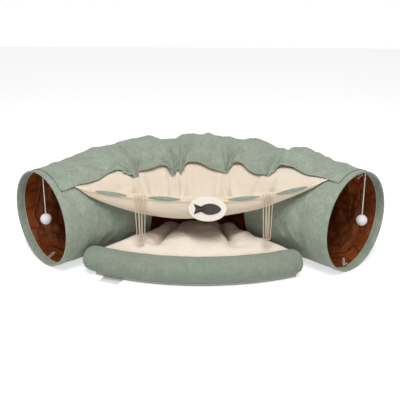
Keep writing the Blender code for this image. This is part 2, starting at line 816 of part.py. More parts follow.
def tassel(hand, distance):
    """Three hanging loops of cord that swing from the band's top edge."""
    share = band_share(distance)
    top, _, run, front = band_frame(share)
    hang = top + front * (band_cloth + fit_gap + tassel_cord / 2)
    loops = []
    straight = tassel_length - tassel_loop_radius - tassel_cord / 2
    leg_steps = 5
    arc_steps = 6
    for number in (-1, 0, 1):
        layer = front * (abs(number - 1) * (tassel_cord + fit_gap))
        points = []
        for i in range(leg_steps):
            points.append((-tassel_loop_radius, -straight * i / leg_steps))
        for i in range(arc_steps + 1):
            turn = math.pi * i / arc_steps
            across = -tassel_loop_radius * math.cos(turn)
            points.append((across, -straight - tassel_loop_radius * math.sin(turn)))
        for i in range(1, leg_steps + 1):
            points.append((tassel_loop_radius, -straight * (leg_steps - i) / leg_steps))
        route = []
        for across, drop in points:
            lean = number * (tassel_loop_pitch - tassel_gather * -drop / tassel_length)
            route.append(hang + layer + run * (across + lean) + Vector((0.0, 0.0, drop)))
        name = f"{hand}_tassel_loop_{number + 2}"
        loops.append(cord_solid(name, route, tassel_cord, cream_cord))
    axis_empty(hand + "_tassel_swing_axis", hang, loops)


def badge():
    """A felt patch on the band's front, with a plain fish cut from dark felt."""
    distance = badge_shift
    top, _, run, front = band_frame(band_share(distance))
    back = top + front * (band_cloth + fit_gap) - Vector((0.0, 0.0, badge_drop))
    steps = 28
    turns = [math.tau * k / steps for k in range(steps)]
    oval = [(badge_width / 2 * math.cos(turn), badge_height / 2 * math.sin(turn)) for turn in turns]
    upper = [(fish_length / 2 * along, fish_height / 2 * high) for along, high in fish_shares]
    fish = upper + [(along, -high) for along, high in reversed(upper[1:-1])]

    def plate(name, outline, start, thickness, cloth):
        rings = []
        for depth in (start, start + thickness):
            rings.append(
                [back + front * depth + run * across + Vector((0.0, 0.0, up))
                 for across, up in outline]
            )
        swept_solid(name, rings, cloth)

    plate("badge_patch", oval, 0.0, badge_felt, badge_cloth)
    plate("badge_fish", fish, badge_felt + fit_gap, fish_felt, dark_felt)


bolster_centre_y = bolster_arc_radius - bolster_front_reach + bolster_diameter / 2
bolster_height = base_thickness + fit_gap + bolster_diameter / 2


def arc_y(x, radius):
    """The front side of a level circle round the bolster's centre of bend."""
    return bolster_centre_y - math.sqrt(radius ** 2 - (x - bolster_centre_x) ** 2)


def mat_base():
    """The floor pad, which fills the window's sill and runs out under the bolster."""
    rear_radius = bend_radius + shell_radius(0.0) * math.cos(window_bottom_angle) - fit_gap
    outline = []
    turns = bend_angles()[2:-2]
    trim = fit_gap / rear_radius
    for turn in turns:
        angle = math.copysign(min(abs(turn), window_half_angle - trim), turn)
        local = rear_radius - (middle_radius - shell_radius(bend_radius * angle))
        outline.append((local * math.sin(angle), bend_centre_y + local * math.cos(angle)))
    side_radius = bend_radius - mat_side_clearance
    start, outward = centreline(bend_length)
    forward = Vector((math.cos(bend_half_angle), -math.sin(bend_half_angle), 0.0))
    right = []
    for turn in (window_half_angle - trim, bend_half_angle):
        right.append((side_radius * math.sin(turn), bend_centre_y + side_radius * math.cos(turn)))
    front_radius = bolster_arc_radius + base_lip
    corner_x = bolster_half_width - base_lip
    side_start = start - outward * mat_side_clearance
    from_bend = side_start - Vector((bolster_centre_x, bolster_centre_y, 0.0))
    back_way = from_bend.dot(forward)
    to_front = math.sqrt(back_way ** 2 - from_bend.length_squared + front_radius ** 2) - back_way
    side_end = side_start + forward * min((corner_x - side_start.x) / forward.x, to_front)
    right.append((side_end.x, side_end.y))
    front = []
    front_steps = 14
    front_half = side_end.x - base_lip
    for i in range(front_steps + 1):
        x = front_half * (1 - 2 * i / front_steps)
        front.append((x, arc_y(x, front_radius)))
    left = [(-x, y) for x, y in reversed(right)]
    outline += right + front + left
    rings = [[Vector((x, y, z)) for x, y in outline] for z in (0.0, base_thickness)]
    swept_solid("mat_base", rings, pad_cloth)


def cushion_plan(across, deep):
    """A place on the cushion's plan: across from -1 to 1, deep from its front edge to its rear."""
    front_radius = bolster_arc_radius - bolster_diameter / 2 - fit_gap
    front_x = across * cushion_front_half_width
    rows = (
        Vector((front_x, arc_y(front_x, front_radius))),
        Vector((across * cushion_waist_half_width, cushion_waist_y)),
        Vector((across * cushion_rear_half_width, cushion_rear_y)),
    )
    weights = (
        (1 - deep) * (1 - 2 * deep),
        4 * deep * (1 - deep),
        deep * (2 * deep - 1),
    )
    return sum((row * weight for row, weight in zip(rows, weights)), Vector((0.0, 0.0)))


def crease_distance(place):
    """How far a place on the cushion's plan is from the nearest crease."""
    nearest = cushion_front_half_width
    for crease in crease_shares:
        route = [cushion_plan(*row) for row in crease]
        for start, end in zip(route, route[1:]):
            way = end - start
            share = min(max((place - start).dot(way) / way.length_squared, 0.0), 1.0)
            nearest = min(nearest, (place - start - way * share).length)
    return nearest


def cushion_top(across, deep):
    """The cushion's height there over its edge: a crown, less its creases."""
    side_power, end_power = cushion_crown_powers
    crown = (1 - abs(across) ** side_power) * (1 - abs(2 * deep - 1) ** end_power)
    to_crease = crease_distance(cushion_plan(across, deep)) / crease_radius
    dent = crease_depth * math.exp(-to_crease ** 2)
    return (cushion_height - cushion_edge_height) * crown ** 0.5 - dent * crown


def seat_cushion():
    """The filled cushion: a crowned top with two creases, over a drawn-in flat bottom."""
    across_steps = 24
    deep_steps = 16
    floor = base_thickness + fit_gap
    bm = bmesh.new()
    grid = []
    for i in range(across_steps + 1):
        line = []
        for j in range(deep_steps + 1):
            across = math.sin(math.pi / 2 * (2 * i / across_steps - 1))
            deep = (1 - math.cos(math.pi * j / deep_steps)) / 2
            place = cushion_plan(across, deep)
            height = floor + cushion_edge_height + cushion_top(across, deep)
            line.append(bm.verts.new((place.x, place.y, height)))
        grid.append(line)
    for i in range(across_steps):
        for j in range(deep_steps):
            bm.faces.new([grid[i][j], grid[i + 1][j], grid[i + 1][j + 1], grid[i][j + 1]])
    rim = [grid[i][0] for i in range(across_steps)]
    rim += [grid[across_steps][j] for j in range(deep_steps)]
    rim += [grid[i][deep_steps] for i in range(across_steps, 0, -1)]
    rim += [grid[0][j] for j in range(deep_steps, 0, -1)]
    centre = Vector((0.0, cushion_waist_y, 0.0))
    foot = []
    for vert in rim:
        level = vert.co - centre
        level.z = 0.0
        pulled = centre + level * (1 - cushion_bottom_inset / level.length)
        foot.append(bm.verts.new((pulled.x, pulled.y, floor)))
    for k in range(len(rim)):
        after = (k + 1) % len(rim)
        bm.faces.new([rim[k], foot[k], foot[after], rim[after]])
    bm.faces.new(foot)
    finish_mesh("seat_cushion", bm, cushion_cloth)


def bolster():
    """A stuffed roll along the mat's front, drawn in at both gathered ends."""
    sides = 14
    radius = bolster_diameter / 2
    half_turn = math.asin(bolster_half_width / bolster_arc_radius)
    end_shares = ((0.0, 0.20), (0.06, 0.58), (0.25, 0.84), (0.60, 0.96), (1.1, 1.0))
    ends = [(half_turn - reach * radius / bolster_arc_radius, size) for reach, size in end_shares]
    inner = 14
    limit = ends[-1][0]
    stations = [(-turn, size) for turn, size in ends]
    stations += [(limit * (2 * i / inner - 1), 1.0) for i in range(1, inner)]
    stations += list(reversed(ends))
    rings = []
    for turn, size in stations:
        outward = Vector((math.sin(turn), -math.cos(turn), 0.0))
        bend = Vector((bolster_centre_x, bolster_centre_y, bolster_height))
        centre = bend + outward * bolster_arc_radius
        ring = []
        for k in range(sides):
            angle = math.tau * (k + 0.5) / sides
            up = Vector((0.0, 0.0, math.sin(angle)))
            ring.append(centre + (outward * math.cos(angle) + up) * radius * size)
        rings.append(ring)
    swept_solid("bolster", rings, sage_cloth)


def care_label():
    """A blank tape that runs out of the mat's front seam and lies on the floor."""
    radius = bolster_arc_radius + base_lip
    turn = math.asin(label_position / radius)
    outward = Vector((math.sin(turn), -math.cos(turn), 0.0))
    aside = Vector((math.cos(turn), math.sin(turn), 0.0))
    half = label_width / 2
    sagitta = radius - math.sqrt(radius ** 2 - half ** 2)
    bend = Vector((bolster_centre_x, bolster_centre_y, 0.0))
    start = bend + outward * (radius + fit_gap + sagitta / 2)
    seam_height = base_thickness / 2
    rows = ((0.0, seam_height), (label_drop_length / 2, seam_height / 2), (label_drop_length, 0.0))
    rows += ((label_length, 0.0),)
    layers = []
    for lift in (label_tape, 0.0):
        layers.append(
            [
                [start + aside * across + outward * out + Vector((0.0, 0.0, high + lift))
                 for out, high in rows]
                for across in (-half, half)
            ]
        )
    sheet_solid("care_label", layers[0], layers[1], label_tape_cloth)


def toy(side, hand, angle, cord_length, mouth_pieces):
    """A felt ball on a cord, hung from a tape tab inside the mouth's top."""
    along = side * (half_length - toy_inset)
    _, outward = centreline(along)
    forward = Vector((side * math.cos(bend_half_angle), -math.sin(bend_half_angle), 0.0))
    top = tunnel_point(along, angle, mouth_offset - facet_sag(angle))
    head = top + Vector((0.0, 0.0, -toy_hinge_gap))
    rings = []
    for drop, width in ((0.0, toy_tab_top_width), (toy_tab_height, toy_tab_width)):
        ring = []
        for u, v in ((-1, -1), (1, -1), (1, 1), (-1, 1)):
            level = outward * (u * width / 2) + forward * (v * toy_tab_tape / 2)
            ring.append(head + level + Vector((0.0, 0.0, -drop)))
        rings.append(ring)
    tab = swept_solid(hand + "_toy_tab", rings, white_cord)
    cord_top = head + Vector((0.0, 0.0, -toy_tab_height - toy_hinge_gap))
    cord_steps = 8
    drops = [0.0, toy_cord_diameter / 2]
    drops += [cord_length * i / cord_steps for i in range(1, cord_steps + 1)]
    route = [cord_top + Vector((0.0, 0.0, -drop)) for drop in drops]
    cord = cord_solid(hand + "_toy_cord", route, toy_cord_diameter, white_cord, resolution=2)
    cord.data.splines[0].points[0].radius = toy_cord_tip_share
    bm = bmesh.new()
    ball_radius = toy_ball_diameter / 2
    bmesh.ops.create_uvsphere(bm, u_segments=14, v_segments=9, radius=ball_radius)
    ball_centre = route[-1] + Vector((0.0, 0.0, -fit_gap - ball_radius))
    bmesh.ops.translate(bm, verts=bm.verts, vec=ball_centre)
    ball = finish_mesh(hand + "_toy_ball", bm, white_felt)
    axis_empty(hand + "_toy_swing_axis", cord_top, [cord, ball])
    axis_empty(hand + "_toy_sway_axis", head, [tab])
    mouth_pieces.append(tab)


def tie_loop(name, side, angle, lean, length):
    """A cord loop sewn on near the facing's edge, which leans in off the lining."""
    along = side * (sleeve_edge - hem_facing + tie_root)
    seat = mouth_offset - fit_gap - facet_sag(angle) - tie_cord / 2 * math.cos(lean)
    start = tunnel_point(along, angle, seat)
    _, outward = centreline(along)
    upward = Vector((0.0, 0.0, 1.0))
    forward = Vector((side * math.cos(bend_half_angle), -math.sin(bend_half_angle), 0.0))
    inward = -outward * math.cos(angle) - upward * math.sin(angle)
    across = upward * math.cos(angle) - outward * math.sin(angle)
    run = inward * math.sin(lean) - forward * math.cos(lean)
    straight = length - tie_loop_radius
    steps = 6
    route = [start - across * tie_loop_radius]
    for i in range(steps + 1):
        turn = math.pi * i / steps
        place = start + run * (straight + tie_loop_radius * math.sin(turn))
        route.append(place - across * tie_loop_radius * math.cos(turn))
    route.append(start + across * tie_loop_radius)
    loop = cord_solid(name, route, tie_cord, white_cord)
    return loop, start, run, across


def tie_toggle(name, hang, place_share, length, turn):
    """A turned wooden bar on the mouth's side of a tie loop, turned in the loop's plane."""
    _, start, run, across = hang
    bar = across * math.cos(turn) + run * math.sin(turn)
    face = run.cross(across)
    if face.x < 0:
        face = -face
    middle = start + run * (place_share * length)
    middle += face * (tie_cord / 2 + fit_gap + toggle_diameter / 2)
    upward = bar.cross(face)
    rings = []
    for share, size in toggle_shares:
        ring = []
        for k in range(toggle_sides):
            angle = math.tau * k / toggle_sides
            round_way = face * math.cos(angle) + upward * math.sin(angle)
            radius = toggle_diameter / 2 * size
            ring.append(middle + bar * (share * toggle_length / 2) + round_way * radius)
        rings.append(ring)
    return swept_solid(name, rings, toggle_wood)


def mouth(side, hand, toy_angle, toy_cord_length):
    """Everything that a mouth carries: rim, toy and ties."""
    pieces = mouth_rim(side, hand)
    toy(side, hand, toy_angle, toy_cord_length, pieces)
    if hand == "left":
        pieces.append(
            tie_loop("left_bottom_tie", side, left_tie_angle, left_tie_lean, tie_length)[0]
        )
    else:
        bottom = tie_loop("right_bottom_tie", side, right_tie_angle, right_tie_lean, tie_length)
        top = tie_loop("right_top_tie", side, top_tie_angle, top_tie_lean, top_tie_length)
        pieces += [bottom[0], top[0]]
        pieces.append(
            tie_toggle("right_bottom_toggle", bottom, bottom_toggle_share, tie_length, 0.0)
        )
        pieces.append(
            tie_toggle("right_top_toggle", top, top_toggle_share, top_tie_length, top_toggle_turn)
        )
    centre, _ = centreline(side * half_length)
    holder_place = centre + Vector((0.0, 0.0, mouth_radius))
    axis_empty(hand + "_collapse_axis", holder_place, [p for p in pieces if p.parent is None])


for sleeve_side, sleeve_hand in ((-1, "left"), (1, "right")):
    sleeve(sleeve_side, sleeve_hand)
middle_tube("middle_shell", 0.0, shell_cloth, sage_cloth)
middle_tube("middle_lining", lining_offset, lining_cloth, brown_lining)
canopy()
gathered_hem()
hammock_band()
hammock_sling()
band_inset("left_outer_inset", -1, outer_inset_stations)
band_inset("left_inner_inset", -1, left_inner_inset_stations)
band_inset("right_inner_inset", 1, right_inner_inset_stations)
band_inset("right_outer_inset", 1, outer_inset_stations)
tassel("left", left_tassel_position)
tassel("right", right_tassel_position)
badge()
mat_base()
seat_cushion()
bolster()
care_label()
mouth(-1, "left", left_toy_angle, left_toy_cord_length)
mouth(1, "right", right_toy_angle, right_toy_cord_length)
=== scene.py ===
# %% [markdown]
# # A cloth tunnel bed for a cat
# The bed is a bent tunnel of green canvas with a brown lining. Its front is open in the middle, where a
# cushion lies on a mat behind a stuffed roll, and a cream hammock is slung over the cushion. A loose green
# cover lies over the top, and its front edge is gathered on elastic. Wire hoops hold both mouths open.
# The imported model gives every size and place, so each piece here is built on the same formulas in metres.

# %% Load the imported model
import math

import bmesh
import bpy
import numpy as np
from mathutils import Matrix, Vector


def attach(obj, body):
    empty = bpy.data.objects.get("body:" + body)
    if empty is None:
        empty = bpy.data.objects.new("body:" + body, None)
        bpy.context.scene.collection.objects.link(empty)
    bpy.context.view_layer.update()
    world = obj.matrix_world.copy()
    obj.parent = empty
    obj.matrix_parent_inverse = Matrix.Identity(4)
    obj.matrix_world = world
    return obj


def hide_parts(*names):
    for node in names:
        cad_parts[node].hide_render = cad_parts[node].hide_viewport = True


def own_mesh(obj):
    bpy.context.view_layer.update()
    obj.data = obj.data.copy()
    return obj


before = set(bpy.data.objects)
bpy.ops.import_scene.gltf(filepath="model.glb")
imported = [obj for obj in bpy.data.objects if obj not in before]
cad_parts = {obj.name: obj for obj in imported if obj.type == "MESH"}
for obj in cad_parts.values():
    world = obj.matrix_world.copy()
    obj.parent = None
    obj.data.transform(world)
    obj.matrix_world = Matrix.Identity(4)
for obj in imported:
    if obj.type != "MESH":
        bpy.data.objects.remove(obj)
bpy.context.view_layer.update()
bed_scene = bpy.context.scene
print("nodes:", len(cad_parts))

# %% [markdown]
# ## The camera
# The camera stands where the photograph was taken from: a little to the right of the middle, 18 degrees
# above level. A direction and a distance from a target are easier to read than a place, and
# `to_track_quat` turns the camera to look back along that direction.

# %% The camera
camera_target = Vector((0.0099, 0.0, 0.2101))
camera_distance = 1.9
camera_height_angle = math.radians(18.28)
camera_side_angle = math.radians(2.77)

camera_data = bpy.data.cameras.new("bed_camera")
camera_data.lens = 59.13
camera_data.sensor_width = 36.0
camera_data.sensor_fit = "HORIZONTAL"
camera = bpy.data.objects.new("bed_camera", camera_data)
towards_camera = Vector((
    math.sin(camera_side_angle) * math.cos(camera_height_angle),
    -math.cos(camera_side_angle) * math.cos(camera_height_angle),
    math.sin(camera_height_angle),
))
camera.location = camera_target + towards_camera * camera_distance
camera.rotation_euler = towards_camera.to_track_quat("Z", "Y").to_euler()
bed_scene.collection.objects.link(camera)
bed_scene.camera = camera
print("camera at", [round(v, 3) for v in camera.location])

# %% [markdown]
# ## Floor and light
# The photograph shows a white studio. Its floor could be lit until it clips, but the bed would clip with
# it. So the floor adds white for camera, glossy and transmission rays only: it shows white, keeps a soft
# shadow, and no extra light falls on the bed.

# %% The floor
def math_node(tree, operation, first, second=None):
    """A math node's output; each side is a socket or a number."""
    node = tree.nodes.new("ShaderNodeMath")
    node.operation = operation
    for socket, value in zip(node.inputs, (first, second)):
        if isinstance(value, bpy.types.NodeSocket):
            tree.links.new(value, socket)
        elif value is not None:
            socket.default_value = value
    return node.outputs[0]


def seen_rays(tree):
    """A socket that is 1 for rays from the camera, from gloss and through glass."""
    paths = tree.nodes.new("ShaderNodeLightPath")
    seen = math_node(tree, "MAXIMUM", paths.outputs["Is Camera Ray"], paths.outputs["Is Glossy Ray"])
    return math_node(tree, "MAXIMUM", seen, paths.outputs["Is Transmission Ray"])


white = (1.0, 1.0, 1.0, 1.0)
floor_white = 0.62
floor_size = 14.0
floor_mesh = bpy.data.meshes.new("studio_floor")
corner = floor_size / 2
floor_mesh.from_pydata(
    [(-corner, -corner, 0.0), (corner, -corner, 0.0), (corner, corner, 0.0), (-corner, corner, 0.0)],
    [],
    [(0, 1, 2, 3)],
)
studio_floor = bpy.data.objects.new("studio_floor", floor_mesh)
bed_scene.collection.objects.link(studio_floor)

floor_finish = bpy.data.materials.new("studio_floor")
floor_finish.use_nodes = True
floor_tree = floor_finish.node_tree
floor_shader = floor_tree.nodes["Principled BSDF"]
floor_shader.inputs["Base Color"].default_value = (0.9, 0.9, 0.9, 1.0)
floor_shader.inputs["Roughness"].default_value = 0.9
floor_shader.inputs["Specular IOR Level"].default_value = 0.0
floor_glow = floor_tree.nodes.new("ShaderNodeEmission")
floor_glow.inputs["Color"].default_value = white
glow_amount = math_node(floor_tree, "MULTIPLY", seen_rays(floor_tree), floor_white)
floor_sum = floor_tree.nodes.new("ShaderNodeAddShader")
floor_tree.links.new(glow_amount, floor_glow.inputs["Strength"])
floor_tree.links.new(floor_shader.outputs[0], floor_sum.inputs[0])
floor_tree.links.new(floor_glow.outputs[0], floor_sum.inputs[1])
floor_tree.links.new(floor_sum.outputs[0], floor_tree.nodes["Material Output"].inputs["Surface"])
floor_mesh.materials.append(floor_finish)
print("floor:", floor_size, "m wide")

# %% [markdown]
# The light comes from everywhere, and a little more from above. An even world gives the first part. Two
# area lamps give the direction: a large one overhead and a weak one in front. Sun lamps would throw hard
# shadows, and the photograph has none.

# %% The world and the lamps
world_strength = 0.32
lamp_target = Vector((0.0, 0.0, 0.15))

studio_world = bpy.data.worlds.new("studio_world")
bed_scene.world = studio_world
studio_world.use_nodes = True
world_tree = studio_world.node_tree
world_light = world_tree.nodes["Background"]
world_light.inputs["Color"].default_value = white
world_light.inputs["Strength"].default_value = world_strength
world_white = world_tree.nodes.new("ShaderNodeBackground")
world_white.inputs["Color"].default_value = white
world_white.inputs["Strength"].default_value = 1.0
world_mix = world_tree.nodes.new("ShaderNodeMixShader")
world_tree.links.new(seen_rays(world_tree), world_mix.inputs[0])
world_tree.links.new(world_light.outputs[0], world_mix.inputs[1])
world_tree.links.new(world_white.outputs[0], world_mix.inputs[2])
world_tree.links.new(world_mix.outputs[0], world_tree.nodes["World Output"].inputs["Surface"])


def area_lamp(name, place, size, watts):
    """A square soft lamp that looks at the middle of the bed."""
    lamp_data = bpy.data.lights.new(name, "AREA")
    lamp_data.size = size
    lamp_data.energy = watts
    lamp = bpy.data.objects.new(name, lamp_data)
    lamp.location = place
    lamp.rotation_euler = (Vector(place) - lamp_target).to_track_quat("Z", "Y").to_euler()
    bed_scene.collection.objects.link(lamp)


area_lamp("overhead_lamp", (0.05, -1.25, 2.20), 1.2, 54.0)
area_lamp("front_fill", (-0.2, -2.6, 0.5), 0.8, 4.0)
bed_scene.view_settings.view_transform = "Standard"

# %% [markdown]
# ## Finishes
# A finish is a small tree of nodes. It could be drawn by hand in the shader editor. In a script, a few
# short helpers keep it readable: a noise in metres, a weighted sum, a colour between two, and bumps on
# top of each other.

# %% Helpers for finishes
def plain_finish(name, colour, roughness, sheen=0.0, metallic=0.0):
    """A material with the values that are the same all over, and its tree and shader."""
    made = bpy.data.materials.new(name)
    made.use_nodes = True
    tree = made.node_tree
    shader = tree.nodes["Principled BSDF"]
    shader.inputs["Base Color"].default_value = (*colour, 1.0)
    shader.inputs["Roughness"].default_value = roughness
    shader.inputs["Metallic"].default_value = metallic
    shader.inputs["Sheen Weight"].default_value = sheen
    made.diffuse_color = (*colour, 1.0)
    return made, tree, shader


def weighted_sum(tree, start, *parts):
    """A number plus each of some sockets times its weight."""
    total = start
    for socket, weight in parts:
        total = math_node(tree, "ADD", math_node(tree, "MULTIPLY", socket, weight), total)
    return total


def noise_node(tree, scale, detail=3.0, roughness=0.55, stretch=(1.0, 1.0, 1.0)):
    """A noise in the object's metres."""
    place = tree.nodes.new("ShaderNodeTexCoord")
    spread = tree.nodes.new("ShaderNodeMapping")
    spread.inputs["Scale"].default_value = stretch
    tree.links.new(place.outputs["Object"], spread.inputs["Vector"])
    noise = tree.nodes.new("ShaderNodeTexNoise")
    noise.inputs["Scale"].default_value = scale
    noise.inputs["Detail"].default_value = detail
    noise.inputs["Roughness"].default_value = roughness
    tree.links.new(spread.outputs[0], noise.inputs["Vector"])
    return noise.outputs[0]


def paint(tree, shader, share, dark, light):
    """The shader's colour runs from a dark one to a light one with a share."""
    node = tree.nodes.new("ShaderNodeMix")
    node.data_type = "RGBA"
    tree.links.new(share, node.inputs["Factor"])
    node.inputs["A"].default_value = (*dark, 1.0)
    node.inputs["B"].default_value = (*light, 1.0)
    tree.links.new(node.outputs["Result"], shader.inputs["Base Color"])


def emboss(tree, shader, *layers):
    """Bumps on top of each other, each a height, the distance that it stands off and a strength."""
    below = None
    for height, distance, strength in layers:
        node = tree.nodes.new("ShaderNodeBump")
        node.inputs["Distance"].default_value = distance
        node.inputs["Strength"].default_value = strength
        tree.links.new(height, node.inputs["Height"])
        if below is not None:
            tree.links.new(below, node.inputs["Normal"])
        below = node.outputs[0]
    tree.links.new(below, shader.inputs["Normal"])


def shade(colour, by):
    """A colour made darker or lighter."""
    return tuple(min(part * by, 1.0) for part in colour)


def let_light_through(finish, weight, tint, depth):
    """Lets part of the light go through a thin cloth, and tints it on its way."""
    shader = finish.node_tree.nodes["Principled BSDF"]
    shader.inputs["Subsurface Weight"].default_value = weight
    shader.inputs["Subsurface Radius"].default_value = tint
    shader.inputs["Subsurface Scale"].default_value = depth


print("white at nine tenths:", shade(white[:3], 0.9))

# %% [markdown]
# Canvas shows threads that pass over and under each other. A picture of cloth would repeat and stretch.
# The product of two sine waves over a UV map in metres gives the weave at its real pitch, and noise on
# top makes slubs, small creases and uneven dye. One function makes each woven cloth, and its named values
# set how coarse, how creased and how shiny it is.

# %% The woven cloths
def uv_sides(tree):
    """The two sides of the UV map, in metres."""
    place = tree.nodes.new("ShaderNodeTexCoord")
    split = tree.nodes.new("ShaderNodeSeparateXYZ")
    tree.links.new(place.outputs["UV"], split.inputs[0])
    return split.outputs[0], split.outputs[1]


def weave_height(tree, pitch):
    """The height of a plain weave: one wave each way."""
    turns = [math_node(tree, "MULTIPLY", side, math.tau / pitch) for side in uv_sides(tree)]
    return math_node(tree, "MULTIPLY", *(math_node(tree, "SINE", turn) for turn in turns))


def woven_finish(name, colour, pitch, crease=0.5, sheen=0.25, mottle=0.10, roughness=0.86):
    """A woven cloth: threads at their pitch, slubs, soft creases and uneven dye."""
    made, tree, shader = plain_finish(name, colour, roughness, sheen)
    threads = weave_height(tree, pitch)
    slub = noise_node(tree, 0.35 / pitch, 2.0)
    heather = noise_node(tree, 130.0, 4.0, 0.75, stretch=(1.0, 1.0, 0.6))
    dye = noise_node(tree, 30.0, 4.0, 0.65)
    share = weighted_sum(tree, -1.30, (slub, 0.5), (threads, 0.10), (heather, 1.8), (dye, 1.3))
    dark, light = shade(colour, 1 - mottle), shade(colour, 1 + mottle)
    paint(tree, shader, share, dark, light)
    dents = noise_node(tree, 10.0, 2.0, 0.5, stretch=(1.3, 1.3, 0.8))
    creases = noise_node(tree, 24.0, 4.0, 0.6, stretch=(1.0, 1.0, 0.7))
    emboss(tree, shader, (dents, 0.0220, crease), (creases, 0.0055, crease), (threads, 0.00025, 0.55))
    return made


sage_canvas = woven_finish("sage_canvas", (0.268, 0.312, 0.244), 0.0011, crease=0.80, mottle=0.24)
bolster_canvas = woven_finish("bolster_canvas", (0.212, 0.253, 0.196), 0.0011, crease=0.55, mottle=0.16)
cream_canvas = woven_finish("cream_canvas", (0.80, 0.665, 0.530), 0.0010, crease=0.45, mottle=0.05)
cushion_cotton = woven_finish("cushion_cotton", (0.84, 0.735, 0.625), 0.0008, crease=0.60, mottle=0.05)
pad_cloth = woven_finish("pad_cloth", (0.68, 0.68, 0.68), 0.0012, crease=0.3, mottle=0.06)
label_tape = woven_finish("label_tape", (0.83, 0.83, 0.83), 0.0006, crease=0.15, mottle=0.03)
let_light_through(cream_canvas, 0.35, (1.0, 0.75, 0.5), 0.006)
print("cloth finishes:", [made.name for made in bpy.data.materials])

# %% [markdown]
# The lining is a thin, smooth, crackling cloth: it shows sharp creases in all directions and a faint
# shine. Plain noise makes round dents. Its middle value, made a crest, gives long sharp creases with
# broad hollows between them, as crushed cloth has. The creases are also painted darker, as painted
# shade, and the small crumples are painted lighter where they rise, as painted light.

# %% The crinkled lining
def crinkled_finish(name, colour, deep):
    """A thin crackling cloth: long creases with sharp crests and painted shade, small crumples and a faint
    shine.
    """
    made, tree, shader = plain_finish(name, colour, 0.55)
    shader.inputs["Specular IOR Level"].default_value = 0.25
    wander = noise_node(tree, 9.0, 2.0)
    creases = 0.0
    for scale, stretch in ((7.0, (1.0, 1.0, 2.4)), (13.0, (1.8, 1.8, 0.9))):
        noise = noise_node(tree, scale, 1.0, 0.3, stretch=stretch)
        away = math_node(tree, "ABSOLUTE", math_node(tree, "SUBTRACT", noise, 0.5))
        crest = math_node(tree, "SUBTRACT", 1.0, math_node(tree, "MULTIPLY", away, 13.0))
        crest = math_node(tree, "MAXIMUM", crest, 0.0)
        creases = math_node(tree, "MAXIMUM", crest, creases)
    fine = noise_node(tree, 70.0)
    # Painted shade: the colour darkens along the creases, and the fine noise paints light on the crumples'
    # high points.
    share = weighted_sum(tree, 0.6, (creases, -0.45), (fine, 0.5))
    paint(tree, shader, share, deep, colour)
    emboss(tree, shader, (creases, 0.0032, 0.9), (wander, 0.0060, 0.6), (fine, 0.0020, 0.5))
    return made


# The second colour is the painted shade along the lining's creases.
rust_lining = crinkled_finish("rust_lining", (0.250, 0.057, 0.009), (0.066, 0.015, 0.003))
print("lining:", rust_lining.name)

# %% [markdown]
# The small finishes: drawn wire, twisted and braided cord, felt, and turned wood. Each could be one plain
# colour at this distance, but a close look shows hair, strands and grain, so each has a noise or a wave of
# its own. A cord's UV map runs round it and along it in metres, so bands on that map are its strands.

# %% Wire, cords, felt and wood
def felt_finish(name, colour):
    """Felt or plush: no threads, only short hair that scatters light."""
    made, tree, shader = plain_finish(name, colour, 0.95, 0.5)
    hair = noise_node(tree, 900.0, 3.0, 0.7)
    tufts = noise_node(tree, 160.0, 2.0)
    paint(tree, shader, hair, shade(colour, 0.86), colour)
    emboss(tree, shader, (tufts, 0.0010, 0.5), (hair, 0.0005, 0.8))
    return made


def cord_finish(name, colour, pitch, slant):
    """A cord of strands: slanted bands round and along it, with painted shade in the grooves between them."""
    made, tree, shader = plain_finish(name, colour, 0.8, 0.2)
    around, along = uv_sides(tree)
    bands = weighted_sum(tree, 0.0, (along, math.tau / pitch), (around, slant * math.tau))
    strands = math_node(tree, "SINE", bands)
    # Painted shade: the colour is darker where the strands' bump is low, in the grooves between strands.
    share = weighted_sum(tree, 0.5, (strands, 0.5))
    paint(tree, shader, share, shade(colour, 0.80), colour)
    emboss(tree, shader, (strands, 0.0004, 0.7))
    return made


def wood_finish(name, colour):
    """Waxed wood with its grain along X."""
    made, tree, shader = plain_finish(name, colour, 0.45)
    grain = noise_node(tree, 500.0, 4.0, stretch=(0.15, 1.0, 1.0))
    paint(tree, shader, grain, shade(colour, 0.55), colour)
    emboss(tree, shader, (grain, 0.0002, 0.4))
    return made


def wire_finish(name, colour):
    """Drawn spring wire with faint lines."""
    made, tree, shader = plain_finish(name, colour, 0.32, 0.0, 1.0)
    lines = noise_node(tree, 700.0, 2.0)
    paint(tree, shader, lines, shade(colour, 0.8), colour)
    emboss(tree, shader, (lines, 0.0001, 0.2))
    return made


white_plush = felt_finish("white_plush", (0.80, 0.78, 0.77))
badge_felt = felt_finish("badge_felt", (0.86, 0.80, 0.71))
dark_felt = felt_finish("dark_felt", (0.050, 0.035, 0.030))
cream_twist = cord_finish("cream_twist", (0.68, 0.55, 0.40), 0.0022, 1.0)
white_braid = cord_finish("white_braid", (0.83, 0.82, 0.80), 0.0018, 2.0)
knit_elastic = woven_finish("knit_elastic", (0.80, 0.80, 0.78), 0.0009, crease=0.1, mottle=0.03)
toggle_wood = wood_finish("toggle_wood", (0.60, 0.42, 0.22))
spring_wire = wire_finish("spring_wire", (0.56, 0.56, 0.57))
green_thread = cord_finish("green_thread", (0.23, 0.27, 0.21), 0.0010, 1.0)
cream_thread = cord_finish("cream_thread", (0.74, 0.62, 0.48), 0.0010, 1.0)
pale_thread = cord_finish("pale_thread", (0.60, 0.60, 0.56), 0.0010, 1.0)
print("finishes:", len(bpy.data.materials))

# %% [markdown]
# ## The tunnel's own map
# The tunnel's sizes are the part's own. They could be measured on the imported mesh, but its facets blur
# them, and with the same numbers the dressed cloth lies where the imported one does.

